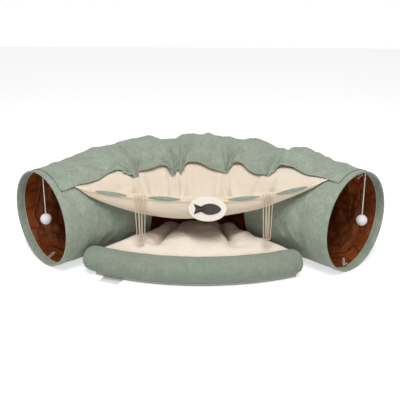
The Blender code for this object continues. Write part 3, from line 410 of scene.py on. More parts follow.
# %% Sizes of the tunnel
upward = np.array((0.0, 0.0, 1.0))
fit_gap = 0.0003
shell_cloth = 0.0012
lining_cloth = 0.0008
hem_cloth = 0.0012
mouth_radius = 0.150
bend_start_radius = 0.1575
middle_radius = 0.1600
sleeve_length = 0.240
sleeve_waist = 0.003
left_mouth_sag_share = 0.04
push_in_reach = 0.160
bend_radius = 0.422
bend_half_angle = math.radians(43)
window_half_angle = math.radians(32)
top_sag = 0.020
top_sag_start_share = 0.75
wire_diameter = 0.0022
hem_outer_leg = 0.015
hem_facing = 0.022

bend_length = bend_radius * bend_half_angle
half_length = bend_length + sleeve_length
mouth_shell_radius = mouth_radius - hem_cloth - fit_gap
bend_centre_y = sleeve_length * math.sin(bend_half_angle) - bend_radius * math.cos(bend_half_angle)
cloth_stack = shell_cloth + fit_gap + lining_cloth
hem_pocket = wire_diameter + 2 * fit_gap
sleeve_edge = half_length - hem_pocket - hem_cloth
sag_fall_start = window_half_angle + (bend_half_angle - window_half_angle) / 4
print("tunnel length along its middle:", round(2 * half_length, 4))

# %% [markdown]
# Every point of the tunnel's cloth has a place along its centreline, an angle round it and an offset from
# it. The centreline is an arc with a straight sleeve at each end. A curve modifier could bend a straight
# tube, but not with its waist, its sag and its window in place. Arrays let one call place thousands of
# points.

# %% From a place on the tunnel to a point
def s_share(value, low, high):
    """0 below low, 1 above high, and an S-shaped rise between."""
    share = np.clip((np.asarray(value, float) - low) / (high - low), 0.0, 1.0)
    return share * share * (3 - 2 * share)


def centreline(along):
    """The centreline's level points, and the level way out of the bend there."""
    along = np.asarray(along, float)
    side = np.where(along >= 0, 1.0, -1.0)
    turn = np.minimum(np.abs(along) / bend_radius, bend_half_angle)
    straight = np.abs(along) - bend_radius * turn
    x = side * (bend_radius * np.sin(turn) + straight * np.cos(turn))
    y = bend_centre_y + bend_radius * np.cos(turn) - straight * np.sin(turn)
    return x, y, side * np.sin(turn), np.cos(turn)


def tunnel_halves(along):
    """Half the tunnel's width and half its height."""
    reach = np.abs(np.asarray(along, float))
    in_bend = middle_radius + (bend_start_radius - middle_radius) * (reach / bend_length) ** 2
    share = (reach - bend_length) / sleeve_length
    waist = sleeve_waist * np.sin(np.pi * np.clip(share, 0.0, 1.0))
    in_sleeve = bend_start_radius + (mouth_shell_radius - bend_start_radius) * share - waist
    radius = np.where(reach <= bend_length, in_bend, in_sleeve)
    sag = left_mouth_sag_share * s_share(-np.asarray(along, float), bend_length, half_length)
    return radius * (1 + sag), radius * (1 - sag)


def axis_height(along):
    """The height of the tunnel's axis."""
    share = s_share(np.abs(along), bend_length, half_length)
    return tunnel_halves(along)[1] + (mouth_radius - mouth_shell_radius) * share


def sag_there(along, angle):
    """How far the slack top hangs below its round, between the window's right side and the hoop."""
    turn = np.asarray(along, float) / bend_radius
    rise = s_share(turn, window_half_angle * top_sag_start_share, window_half_angle)
    fall = 1 - s_share(turn, sag_fall_start, bend_half_angle)
    return top_sag * rise * fall * np.maximum(np.sin(angle), 0.0) ** 2


def tunnel_points(along, angle, offset=0.0):
    """Points of the tunnel. Angle 0 is its back, a quarter turn its top, half a turn its front."""
    along, angle, offset = np.broadcast_arrays(along, angle, offset)
    x, y, out_x, out_y = centreline(along)
    half_width, half_height = tunnel_halves(along)
    level = (half_width + offset) * np.cos(angle)
    height = axis_height(along) + (half_height + offset) * np.sin(angle) - sag_there(along, angle)
    return np.stack([x + out_x * level, y + out_y * level, height], axis=-1)


def soft_ridges(u, v, spacing, seed):
    """Wandering ridges, about a spacing apart, in three ways: from 0 up to 1."""
    total = 0.0
    for number, turn in enumerate((0.3, 1.4, 2.5)):
        across = (u * math.cos(turn) + v * math.sin(turn)) / spacing
        ahead = (v * math.cos(turn) - u * math.sin(turn)) / spacing
        wander = 0.55 * np.sin(1.3 * ahead + seed + number) + 0.25 * np.sin(3.1 * ahead - 2.0 * seed)
        crest = s_share(1 - np.abs(np.sin(math.pi * (across + wander))), 0.1, 1.0)
        mask = 0.5 + 0.5 * np.sin(1.9 * ahead + 0.8 * across + 1.7 * number + seed)
        total = total + crest * mask
    return total / 1.8


print("the left mouth's top:", tunnel_points(-half_length, math.radians(90)).round(4))

# %% [markdown]
# ## From a grid of points to a cloth
# A cloth has two faces and a thickness. A Solidify modifier could give it one, but here the inner face
# often follows another cloth. So each one is built from two matching grids, joined along every free edge.
# The UV map counts metres, so every weave has its real size.

# %% Cloth from two grids
def closed_cloth(name, outer, inner, finish, around=False, keep=None):
    """A closed sheet of cloth between two grids of points, with a UV map in metres."""
    rows, columns = outer.shape[:2]
    steps = columns if around else columns - 1
    row, column = np.meshgrid(np.arange(rows - 1), np.arange(steps), indexing="ij")
    kept = np.ones_like(row, bool) if keep is None else keep(row, column)
    row, column = row[kept], column[kept]
    after = (column + 1) % columns
    quads = np.stack([row * columns + column, row * columns + after,
                      (row + 1) * columns + after, (row + 1) * columns + column], axis=1)
    count = rows * columns
    wrapped = np.concatenate([outer, outer[:, :1]], axis=1) if around else outer
    across = np.zeros(wrapped.shape[:2])
    across[:, 1:] = np.cumsum(np.linalg.norm(np.diff(wrapped, axis=1), axis=2), axis=1)
    across = np.broadcast_to(across.mean(axis=0), across.shape)
    down = np.zeros(outer.shape[:2])
    down[1:] = np.cumsum(np.linalg.norm(np.diff(outer, axis=0), axis=2), axis=0)
    down = np.broadcast_to(down.mean(axis=1)[:, None], down.shape)
    corners_u = np.stack([across[row, column], across[row, column + 1],
                          across[row + 1, column + 1], across[row + 1, column]], axis=1)
    corners_v = np.stack([down[row, 0], down[row, 0], down[row + 1, 0], down[row + 1, 0]], axis=1)
    quad_uv = np.stack([corners_u, corners_v], axis=2)
    edges = {}
    for quad, uvs in zip(quads.tolist(), quad_uv.tolist()):
        for k in range(4):
            edges[(quad[k], quad[(k + 1) % 4])] = (uvs[k], uvs[(k + 1) % 4])
    faces = quads.tolist() + (quads[:, ::-1] + count).tolist()
    face_uv = quad_uv.tolist() + quad_uv[:, ::-1].tolist()
    for (start, end), (uv_a, uv_b) in sorted(edges.items()):
        if (end, start) not in edges:
            faces.append([end, start, start + count, end + count])
            face_uv.append([uv_b, uv_a, uv_a, uv_b])
    points = np.concatenate([outer.reshape(-1, 3), inner.reshape(-1, 3)])
    return solid_from(name, points, faces, face_uv, finish)


fold_angle = math.radians(50)


def new_piece(name, mesh, finish):
    """A mesh as an object in the scene, with one finish."""
    mesh.materials.append(finish)
    made = bpy.data.objects.new(name, mesh)
    bed_scene.collection.objects.link(made)
    return made


def solid_from(name, points, faces, face_uv, finish):
    """A smooth-shaded closed mesh with its own UV map, whose faces point outwards."""
    mesh = bpy.data.meshes.new(name)
    mesh.from_pydata(np.asarray(points).tolist(), [], faces)
    layer = mesh.uv_layers.new(name="UVMap")
    flat = np.array([uv for uvs in face_uv for uv in uvs], np.float32)
    layer.data.foreach_set("uv", flat.ravel())
    shape = bmesh.new()
    shape.from_mesh(mesh)
    loose = [vert for vert in shape.verts if not vert.link_faces]
    bmesh.ops.delete(shape, geom=loose, context="VERTS")
    bmesh.ops.recalc_face_normals(shape, faces=shape.faces)
    shape.to_mesh(mesh)
    shape.free()
    mesh.shade_smooth()
    mesh.set_sharp_from_angle(angle=fold_angle)
    return new_piece(name, mesh, finish)


print("a fold is sharp from", round(math.degrees(fold_angle)), "degrees")

# %% [markdown]
# Hems, cords and plates are rows of matching rings, which one function joins. Every finished piece then
# rides on a body of the imported model and stands for a imported node, which is hidden.

# %% Rings and bodies
def swept(name, rings, finish, closed=False):
    """A solid through a row of matching rings of points, with its UV map round and along in metres."""
    rings = np.asarray(rings, float)
    count, sides = rings.shape[:2]
    round_way = np.concatenate([rings, rings[:, :1]], axis=1)
    across = np.zeros((count, sides + 1))
    across[:, 1:] = np.cumsum(np.linalg.norm(np.diff(round_way, axis=1), axis=2), axis=1)
    across = across.mean(axis=0)
    long_way = np.concatenate([rings, rings[:1]]) if closed else rings
    steps = np.linalg.norm(np.diff(long_way, axis=0), axis=2).mean(axis=1)
    down = np.concatenate([[0.0], np.cumsum(steps)])
    faces, face_uv = [], []
    for i in range(count if closed else count - 1):
        below = (i + 1) % count
        for k in range(sides):
            after = (k + 1) % sides
            faces.append([i * sides + k, i * sides + after, below * sides + after, below * sides + k])
            u, w = float(across[k]), float(across[k + 1])
            v, z = float(down[i]), float(down[i + 1])
            face_uv.append([(u, v), (w, v), (w, z), (u, z)])
    if not closed:
        faces.append(list(range(sides))[::-1])
        faces.append(list(range((count - 1) * sides, count * sides)))
        face_uv += [[(0.0, 0.0)] * sides] * 2
    return solid_from(name, rings.reshape(-1, 3), faces, face_uv, finish)


def settle(piece, body, slot, *nodes):
    """The piece rides on a body and stands for its CAD nodes, which are hidden. The slot is not used."""
    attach(piece, body)
    if nodes:
        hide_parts(*nodes)
    print(piece.name, "on", body, "faces:", len(piece.data.polygons))
    return piece


# %% [markdown]
# ## Sleeves
# Each sleeve is canvas outside and lining inside, from the bend to the mouth. Hoops hold both ends round,
# and the cloth between them hangs slack: shallow folds run along it, and it sags at the top. A sum of a
# few slow waves gives such folds, and they die out at both ends, where the hoops hold the cloth. A cloth
# simulation could find them too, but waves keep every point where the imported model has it, within the
# depths named here.

# %% The slack of cloth between two hoops
ring_count = 176
sleeve_fold_depth = 0.0100
lining_crease_depth = 0.0085
even_by_casing = 0.012


def held_share(along, start, end):
    """1 in the middle of a stretch of cloth and 0 where its ends are held."""
    share = np.clip((np.abs(along) - start) / (end - start), 0.0, 1.0)
    return np.sin(np.pi * share) ** 0.8


def sleeve_slack(along, angle, start, end, depth, seed):
    """How far a sleeve's cloth lies inside its round: folds that run round it and slant along it."""
    held = held_share(along, start, end)
    reach = np.abs(along)
    folds = (
        0.45 * np.sin(reach * 62 + 1.6 * np.sin(2 * angle + seed) + seed)
        + 0.30 * np.sin(3 * angle + 18 * reach + seed)
        + 0.25 * np.sin(reach * 105 - 2.0 * np.sin(3 * angle + 2 * seed) + 2.1 * seed)
    )
    ridges = soft_ridges(reach, bend_start_radius * angle, 0.062, seed)
    return -depth * held * (0.50 + 0.30 * folds + 0.50 * (1 - ridges))


def crinkle(along, angle, start, end, depth, seed):
    """How far a lining stands in from its shell: sharp creases in all directions."""
    held = np.minimum(held_share(along, start, end) * 2, 1.0)
    length = bend_start_radius * angle
    large = soft_ridges(np.abs(along), length, 0.060, seed)
    small = soft_ridges(np.abs(along), length, 0.026, seed + 1.0)
    return -depth * held * (0.75 * large + 0.25 * small)


def clear_of_ties(angle):
    """0 at the bottom and the top, where the ties pass when the mouth is pushed in, and 1 between."""
    share = 1.0
    for place, reach in ((math.radians(270), 0.30), (math.radians(73), 0.16)):
        share = share * (1 - np.exp(-(np.sin((angle - place) / 2) / reach) ** 4))
    return share


sleeve_start = bend_length + fit_gap / 2
sleeve_keep = 1 - push_in_reach / (sleeve_edge - sleeve_start)
print("share of a sleeve left when its mouth is pushed in:", round(sleeve_keep, 3))


def way_in(side):
    """The level direction from a mouth to the bend."""
    return Vector((-side * math.cos(bend_half_angle), math.sin(bend_half_angle), 0.0))


def shorten(piece):
    """Gives the piece its own copy of its mesh."""
    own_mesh(piece)


# %% [markdown]
# When a mouth is pushed in, its sleeve's cloth shortens towards the bend. The stretch that the hem and
# the ties then cover stays even, so that nothing cuts through them.

# %% Shells and linings of the sleeves
def sleeve_cloths(side, hand):
    """The canvas and the lining of one sleeve."""
    stations = side * np.linspace(sleeve_start, sleeve_edge, 84)[:, None]
    angles = (np.arange(ring_count) * math.tau / ring_count)[None, :]
    free_end = sleeve_edge - hem_facing / sleeve_keep
    casing_end = bend_length + even_by_casing / sleeve_keep
    slack = sleeve_slack(stations, angles, casing_end, free_end, sleeve_fold_depth, 1.0 + side)
    slack = np.minimum(slack, 0.0)
    creased = slack + crinkle(stations, angles, casing_end, free_end, lining_crease_depth, 4.0 + side)
    even = clear_of_ties(angles)
    shell_top, lining_top = slack * even, creased * even - shell_cloth - fit_gap
    for part, top, thickness, finish, slot in (
        ("shell", shell_top, shell_cloth, sage_canvas, "sage_cloth"),
        ("lining", lining_top, lining_cloth, rust_lining, "brown_lining"),
    ):
        piece = closed_cloth(f"{hand}_{part}", tunnel_points(stations, angles, top),
                             tunnel_points(stations, angles, top - thickness), finish, around=True)
        settle(piece, "bed", slot, f"{hand}_sleeve_{part}")
        shorten(piece)


for side, hand in ((-1, "left"), (1, "right")):
    sleeve_cloths(side, hand)

# %% [markdown]
# ## Rings round the tunnel
# A hem, a casing or a wire follows the tunnel's round with the same profile all the way. A bevelled curve
# could carry a wire, but not a folded strip, so one function turns any profile of places and offsets into
# a closed ring. The mouth's hem is such a strip: a narrow leg outside, a wide facing inside, and the wire
# in its fold.

# %% Hems, hoops and casings
wire_radius = wire_diameter / 2
hoop_rounds = 96
wire_sides = 10
casing_seam = 0.0040
casing_slope = 0.001
hem_edge_round = 0.0004
hem_fold_radius = 0.0006


def round_profile(profile, rounds=ring_count):
    """A closed ring from a profile of (place along the tunnel, offset) pairs."""
    angles = np.arange(rounds) * math.tau / rounds
    profile = np.asarray(profile, float)
    return tunnel_points(profile[None, :, 0], angles[:, None], profile[None, :, 1])


def fold_arc(centre_place, radius, low, high, steps):
    """Points on the fold of a hem, from its outside to its inside."""
    points = []
    for i in range(steps + 1):
        turn = math.pi / 2 - math.pi * i / steps
        points.append((centre_place + radius * math.cos(turn), (high + low) / 2
                       + (high - low) / 2 * math.sin(turn)))
    return points


def mouth_hem(side, hand):
    """The folded strip that binds a mouth's edge."""
    outside = fit_gap + hem_cloth
    inside = -cloth_stack - fit_gap
    outer_fold = fold_arc(hem_pocket, hem_cloth, inside - hem_cloth, outside, 10)
    inner_fold = fold_arc(hem_pocket - hem_fold_radius, hem_fold_radius, inside, fit_gap, 8)[::-1]
    profile = [
        (-hem_outer_leg, fit_gap), (-hem_outer_leg + hem_edge_round, outside), (-hem_outer_leg / 2, outside),
        *outer_fold,
        (-hem_facing / 2, inside - hem_cloth), (-hem_facing, inside - hem_cloth), (-hem_facing, inside),
        *inner_fold,
    ]
    rings = round_profile([(side * (sleeve_edge + place), offset) for place, offset in profile])
    return settle(swept(hand + "_hem", rings, sage_canvas, closed=True), hand + "_mouth", "sage_cloth",
                  hand + "_mouth_hem")


def wire_hoop(name, along, offset, body, node):
    """A round wire round the tunnel."""
    turns = np.arange(wire_sides) * math.tau / wire_sides
    profile = [(along + wire_radius * math.cos(t), offset + wire_radius * math.sin(t)) for t in turns]
    hoop = swept(name, round_profile(profile, hoop_rounds), spring_wire, closed=True)
    settle(hoop, body, "spring_steel", node)


def hoop_casing(side, hand):
    """The lining strip that holds the hoop at the bend."""
    half = wire_radius + fit_gap
    casing_half = half + casing_seam
    middle = sleeve_start + casing_half
    top = -cloth_stack - fit_gap
    hoop_offset = top - wire_radius
    floor = hoop_offset - wire_radius - fit_gap
    profile = ((-casing_half, top), (-half, top), (-half, floor), (half, floor), (half, top),
               (casing_half, top), (casing_half, top - lining_cloth), (half + casing_slope, floor),
               (half, floor - lining_cloth), (-half, floor - lining_cloth), (-half - casing_slope, floor),
               (-casing_half, top - lining_cloth))
    rings = round_profile([(side * (middle + place), offset) for place, offset in profile])
    settle(swept(hand + "_hoop_casing", rings, rust_lining, closed=True), "bed", "brown_lining",
           hand + "_inner_hoop_casing")
    wire_hoop(hand + "_bend_hoop", side * middle, hoop_offset, "bed", hand + "_inner_hoop")


for side, hand in ((-1, "left"), (1, "right")):
    mouth_hem(side, hand)
    hoop_place = side * (sleeve_edge + fit_gap + wire_radius)
    wire_hoop(hand + "_rim_hoop", hoop_place, -cloth_stack / 2, hand + "_mouth", hand + "_mouth_hoop")
    hoop_casing(side, hand)

# %% [markdown]
# ## The bend
# The tunnel's bend has a window in its front, for the seat. Outside it is canvas and inside it is lining.
# The window could be cut with a boolean, which leaves ragged faces along its edge. Here the grid of the
# cloth has lines at the window's four edges, and the squares between them are left out.

# %% The bend's canvas and lining
window_top_angle = math.radians(112)
window_bottom_angle = math.radians(262)
bend_end_rows = 12
window_rows = 72
back_columns = 96
front_columns = 50
bend_fold_depth = 0.0020
bend_crease_depth = 0.006


def bend_grid():
    """Turns along the bend and angles round it, and which squares are the window's."""
    end = bend_half_angle - fit_gap / 2 / bend_radius
    turns = np.concatenate([
        np.linspace(-end, -window_half_angle, bend_end_rows, endpoint=False),
        np.linspace(-window_half_angle, window_half_angle, window_rows),
        np.linspace(window_half_angle, end, bend_end_rows + 1)[1:],
    ])
    back = np.linspace(window_bottom_angle - math.tau, window_top_angle, back_columns)
    front = np.linspace(window_top_angle, window_bottom_angle, front_columns)[1:-1]
    return turns, np.concatenate([back, front])


bend_turns, bend_angles = bend_grid()


def keep_bend(row, column):
    """All squares but the window's."""
    past_window = bend_end_rows + window_rows - 1
    return (row < bend_end_rows) | (row >= past_window) | (column < back_columns - 1)


def bend_cloth(name, top_offset, thickness, finish, seed=0.4):
    """One cloth of the bend, slack between the hoops and the window's edge."""
    along = bend_radius * bend_turns[:, None]
    angle = bend_angles[None, :]
    held = np.clip(1 - (np.abs(along) / bend_length) ** 6, 0.0, 1.0)
    edge = np.minimum(np.abs(angle - window_top_angle), np.abs(angle - window_bottom_angle + math.tau))
    held = held * s_share(edge, 0.0, 0.3) * (angle < window_top_angle)
    folds = (0.5 * np.sin(4 * angle + 14 * along + seed) + 0.35 * np.sin(7 * angle - 20 * along + seed)
             + 0.25 * np.sin(38 * along + 3 * angle))
    slack = bend_fold_depth * held * (folds - 1.1)
    if finish is rust_lining:
        slack = slack - bend_crease_depth * held * soft_ridges(along, middle_radius * angle, 0.060, seed)
    outer = tunnel_points(along, angle, top_offset + slack)
    inner = tunnel_points(along, angle, top_offset + slack - thickness)
    return closed_cloth(name, outer, inner, finish, around=True, keep=keep_bend)


bend_shell = bend_cloth("bend_shell", 0.0, shell_cloth, sage_canvas)
bend_lining = bend_cloth("bend_lining", -shell_cloth - fit_gap, lining_cloth, rust_lining)
settle(bend_shell, "bed", "sage_cloth", "middle_shell")
settle(bend_lining, "bed", "brown_lining", "middle_lining")

# %% [markdown]
# ## The gathered cover
# The cover is a second, loose cloth over the top. It is sewn on along the back, and elastic draws its
# front edge together in a few places. The edge could be drawn as a Bezier curve by hand. A table of
# places, read with a smooth curve, keeps the arches round and can be changed row by row.

# %% Where the cover's front edge runs
canopy_seam_angle = 3 * math.tau / 32
canopy_seam_lift = 0.0028
canopy_rise = 0.0062
canopy_mouth_lift = 0.0021
canopy_bulge = 0.016
canopy_seam_share = 0.606
canopy_cloth = 0.0012
pleat_depth = 0.014
slow_puff_height = 0.004
cover_ridge_height = 0.010
hammock_right_reach = 0.500
hammock_left_reach = 0.492
flap_end = sleeve_edge - hem_outer_leg - fit_gap

canopy_edge_shares = np.array((
    (-1.000, 47.0, 0.10), (-0.920, 47.5, 0.22), (-0.870, 48.5, 0.25), (-0.790, 46.5, 0.30),
    (-0.740, 47.0, 0.35), (-0.687, 49.5, 0.45), (-0.640, 49.5, 0.55), (-0.599, 46.4, 0.35),
    (-0.570, 41.5, 0.15), (-0.540, 39.0, 0.00), (-0.512, 41.1, 0.15), (-0.494, 44.1, 0.40),
    (-0.431, 43.8, 0.80), (-0.372, 44.4, 1.00), (-0.318, 46.0, 1.00), (-0.276, 45.7, 0.90),
    (-0.254, 42.4, 0.60), (-0.238, 37.0, 0.25), (-0.221, 33.8, 0.00), (-0.199, 37.0, 0.20),
    (-0.180, 39.8, 0.30), (-0.160, 37.6, 0.15), (-0.145, 35.1, 0.00), (-0.131, 39.8, 0.35),
    (-0.105, 45.9, 0.70), (-0.072, 48.0, 0.90), (-0.020, 47.5, 1.00), (0.030, 45.2, 1.00),
    (0.078, 42.1, 0.90), (0.143, 39.8, 0.60), (0.190, 38.6, 0.30), (0.234, 38.1, 0.00),
    (0.255, 45.1, 0.50), (0.272, 49.5, 0.80), (0.318, 50.7, 1.00), (0.370, 49.0, 1.00),
    (0.423, 46.5, 0.90), (0.496, 44.6, 0.55), (0.537, 44.4, 0.30), (0.580, 44.5, 0.00),
    (0.596, 49.0, 0.30), (0.611, 54.0, 0.60), (0.643, 57.7, 0.90), (0.687, 59.4, 0.80),
    (0.735, 58.1, 0.60), (0.783, 57.1, 0.40), (0.825, 58.6, 0.30), (0.882, 59.8, 0.25),
    (0.926, 59.6, 0.20), (1.000, 58.8, 0.10),
))
gather_shares = (-0.540, -0.221, -0.145, 0.234, 0.580)


def smooth_table(places, values, at):
    """Reads a table with a curve that never overshoots its rows (a monotone cubic)."""
    places, values, at = (np.asarray(v, float) for v in (places, values, at))
    step = np.diff(places)
    slope = np.diff(values) / step
    tangent = np.zeros_like(values)
    same = slope[:-1] * slope[1:] > 0
    tangent[1:-1][same] = (2 / (1 / slope[:-1][same] + 1 / slope[1:][same]))
    tangent[0], tangent[-1] = slope[0], slope[-1]
    k = np.clip(np.searchsorted(places, at) - 1, 0, len(step) - 1)
    t = np.clip((at - places[k]) / step[k], 0.0, 1.0)
    h = step[k]
    return (values[k] * (1 + 2 * t) * (1 - t) ** 2 + h * tangent[k] * t * (1 - t) ** 2
            + values[k + 1] * t * t * (3 - 2 * t) + h * tangent[k + 1] * t * t * (t - 1))


def edge_angle(along):
    """The angle round the tunnel of the cover's front edge."""
    low = smooth_table(canopy_edge_shares[:, 0], canopy_edge_shares[:, 1], np.asarray(along) / half_length)
    return np.pi - np.radians(low)


def edge_fullness(along):
    """How far the cover puffs up there, from 0 at a gather to 1 in an arch."""
    return smooth_table(canopy_edge_shares[:, 0], canopy_edge_shares[:, 2], np.asarray(along) / half_length)


print("gathers along the middle, in metres:", [round(share * half_length, 3) for share in gather_shares])

# %% [markdown]
# Between the gathers the cloth puffs up in rounded arches, and it breaks into sharp pleats that fan out
# from each gather. A brush could sculpt them, but a sum can be tuned part by part: pleats that fade up
# the cover, slow puffs, and soft ridges.

# %% How far the cover stands off the tunnel
def gather_pleats(along, down):
    """Sharp pleats that fan out from each gather of the front edge, and fade up the cover."""
    pleats = 0.0
    for number, gather in enumerate(gather_shares):
        aside = along - gather * half_length
        fan = np.arctan2(aside, down + 0.016)
        held = np.exp(-(fan / 0.95) ** 4) * np.exp(-(aside / 0.055) ** 4)
        fade = 1 - s_share(down, 0.035, 0.135)
        wave = 0.5 + 0.5 * np.cos(8.5 * fan + 0.9 * number + 6 * down)
        lean = 0.25 * math.sin(2.6 * number + 0.5)
        valley = np.exp(-((aside - lean * down) / (0.008 + 0.05 * down)) ** 2)
        pleats = pleats + held * fade * wave ** 1.5 - 1.3 * valley * (1 - s_share(down, 0.06, 0.20))
    return pleats


def cover_offset(along, angle):
    """How far the cover stands off the tunnel."""
    edge = edge_angle(along)
    share = (angle - canopy_seam_angle) / (edge - canopy_seam_angle)
    down = np.maximum(edge - angle, 0.0) * middle_radius
    front = s_share(share, 0.45, 0.95)
    fullness = edge_fullness(along)
    turned_in = 1 - 0.40 * s_share(share, 0.80, 1.0)
    ruffle = fullness * s_share(share, 0.22, 0.72) * turned_in
    loose = canopy_seam_lift + (canopy_rise - canopy_seam_lift) * front + canopy_bulge * ruffle
    free_of_seam = s_share(share, 0.04, 0.25)
    loose = loose + pleat_depth * gather_pleats(along, down) * free_of_seam
    length = middle_radius * angle
    slow = 0.5 + 0.5 * np.sin(31 * along + 9 * length) * np.sin(17 * along - 21 * length + 1.3)
    ridges = 0.8 * soft_ridges(along, length, 0.085, 2.6) + 0.3 * soft_ridges(along, length, 0.042, 0.7)
    room = free_of_seam * (1 - s_share(share, 0.93, 1.0)) * (0.5 + 0.5 * fullness)
    loose = loose + (slow_puff_height * slow + cover_ridge_height * ridges) * room
    loose = np.maximum(loose, canopy_seam_lift)
    sewn = s_share(np.abs(along), hammock_right_reach - 0.04, flap_end)
    return loose + (canopy_mouth_lift - loose) * sewn


def cover_grid(low, high, columns, rows, extra=0.0):
    """Points of the cover from its back seam to its front edge."""
    along = np.linspace(low, high, columns)[:, None]
    edge = edge_angle(along)
    share = np.linspace(0.0, 1.0, rows)[None, :]
    angle = canopy_seam_angle + (edge - canopy_seam_angle) * share
    along = np.broadcast_to(along, angle.shape)
    return tunnel_points(along, angle, cover_offset(along, angle) + extra)


print("the cover over the middle stands off by", cover_offset(0.0, math.radians(90)).round(4))

# %% [markdown]
# The cover is cut as a middle piece and a flap over each sleeve. One grid would be simpler, but the flaps
# shorten with their sleeves when a mouth is pushed in, and the middle piece doesn't.

# %% The cover's three panels
cover_rows = 84
cover_seam = canopy_seam_share * half_length
cover_panels = (
    ("cover_middle", -cover_seam, cover_seam, 520, "middle_canopy"),
    ("left_flap", -flap_end, -cover_seam - fit_gap, 100, "left_sleeve_flap"),
    ("right_flap", cover_seam + fit_gap, flap_end, 100, "right_sleeve_flap"),
)
for name, low, high, columns, node in cover_panels:
    panel = closed_cloth(name, cover_grid(low, high, columns, cover_rows, canopy_cloth),
                         cover_grid(low, high, columns, cover_rows), sage_canvas)
    settle(panel, "bed", "sage_cloth", node)
    if name != "cover_middle":
        hand = name.split("_")[0]
        shorten(panel)

# %% [markdown]
# The front edge is turned under round a narrow elastic. The hem could be a solidified strip, but its
# pocket is open inside, so it is a ring of points swept along the edge, and the elastic lies in its pocket.

# %% The gathered hem and its elastic
gathered_hem_width = 0.010
gathered_hem_cloth = 0.0009
elastic_thickness = 0.0008
elastic_width = 0.0030
elastic_room = 0.0009
hem_round_start = 0.0012
hem_round_end = 0.0004
hem_round_share = 0.7


def along_edge(profile, columns=700):
    """Rings of points along the cover's front edge, from a profile of (down, out) pairs."""
    along = np.linspace(-cover_seam, cover_seam, columns)
    edge = edge_angle(along)
    offset = cover_offset(along, edge) + canopy_cloth / 2
    radius = tunnel_halves(along)[0] + offset
    rings = [tunnel_points(along, edge + down / radius, offset + out) for down, out in profile]
    return np.stack(rings, axis=1)


half_pocket = elastic_thickness / 2 + elastic_room
half_hem = half_pocket + gathered_hem_cloth
pocket_end = fit_gap + gathered_hem_width - gathered_hem_cloth
hem_end = fit_gap + gathered_hem_width
hem_profile = (
    (fit_gap, -half_hem), (fit_gap, -half_pocket), (pocket_end, -half_pocket),
    (pocket_end, half_pocket), (fit_gap, half_pocket), (fit_gap, half_hem),
    (hem_end - hem_round_start, half_hem), (hem_end - hem_round_end, half_hem * hem_round_share),
    (hem_end, 0.0),
    (hem_end - hem_round_end, -half_hem * hem_round_share), (hem_end - hem_round_start, -half_hem),
)
elastic_end = pocket_end - elastic_room
elastic_start = elastic_end - elastic_width
half_elastic = elastic_thickness / 2
elastic_profile = (
    (elastic_start, -half_elastic), (elastic_start, half_elastic),
    (elastic_end, half_elastic), (elastic_end, -half_elastic),
)
front_hem = swept("front_hem", along_edge(hem_profile), sage_canvas)
settle(front_hem, "bed", "sage_cloth", "gathered_hem")
front_elastic = swept("front_elastic", along_edge(elastic_profile), knit_elastic)
settle(front_elastic, "bed", "elastic_band", "hem_elastic")

# %% [markdown]
# ## The hammock
# The hammock is a pocket of cream canvas. Its back is held under the cover, its belly hangs over the seat,
# and a strap along its front edge carries it from one sleeve to the other. Hung cloth could be simulated,
# but its weight, its stuffing and the strap's pull aren't known. So the strap is a hanging curve between
# its two tips, and each line of the pocket is a Bezier curve from the cover to the strap.

# %% The strap's curve
band_middle = np.array((0.018, -0.058, 0.238))
band_lift = 0.0040
band_height = 0.016
band_tip_height = 0.006
band_cloth = 0.0020
band_left_tip = tunnel_points(-hammock_left_reach, math.pi - math.radians(49), band_lift)
band_right_tip = tunnel_points(hammock_right_reach, math.pi - math.radians(61), band_lift)


def unit(vectors):
    """Vectors of length 1."""
    return vectors / np.linalg.norm(vectors, axis=-1, keepdims=True)


def band_point(share):
    """The strap's top edge, from -1 at its left tip to 1 at its right tip."""
    share = np.asarray(share, float)
    tip = np.where((share >= 0)[..., None], band_right_tip, band_left_tip)
    reach = np.abs(share)[..., None]
    bow = np.concatenate([reach, reach ** 2, reach ** 2], axis=-1)
    return band_middle + (tip - band_middle) * bow


print("strap tips:", band_left_tip.round(3), band_right_tip.round(3))

# %% [markdown]
# Near its tips the hammock lies on the sleeves, and the rim of a pushed-in mouth has to pass under it. A
# Shrinkwrap modifier could press it on the cloth, but not leave room for the rim. So points that lie in
# the tunnel, or in the rim's way, are moved straight out.

# %% Clear of the sleeves and the rims
def tunnel_place(points):
    """Where points lie along the tunnel, and their level and upward distances from its axis."""
    side = np.where(points[..., 0] >= 0, 1.0, -1.0)
    turn = np.arctan2(side * points[..., 0], points[..., 1] - bend_centre_y)
    in_bend = (turn >= 0) & (turn <= bend_half_angle)
    arc_level = np.hypot(points[..., 0], points[..., 1] - bend_centre_y) - bend_radius
    start_x, start_y, out_x, out_y = centreline(side * bend_length)
    from_x, from_y = points[..., 0] - start_x, points[..., 1] - start_y
    straight_level = from_x * out_x + from_y * out_y
    ahead = from_x * side * math.cos(bend_half_angle) - from_y * math.sin(bend_half_angle)
    along = side * np.where(in_bend, bend_radius * turn, bend_length + ahead)
    level = np.where(in_bend, arc_level, straight_level)
    rise = points[..., 2] - axis_height(along)
    return along, level, rise + sag_there(along, np.arctan2(rise, level))


rim_room = 0.0008
rim_sweep_start = sleeve_edge - hem_outer_leg - push_in_reach


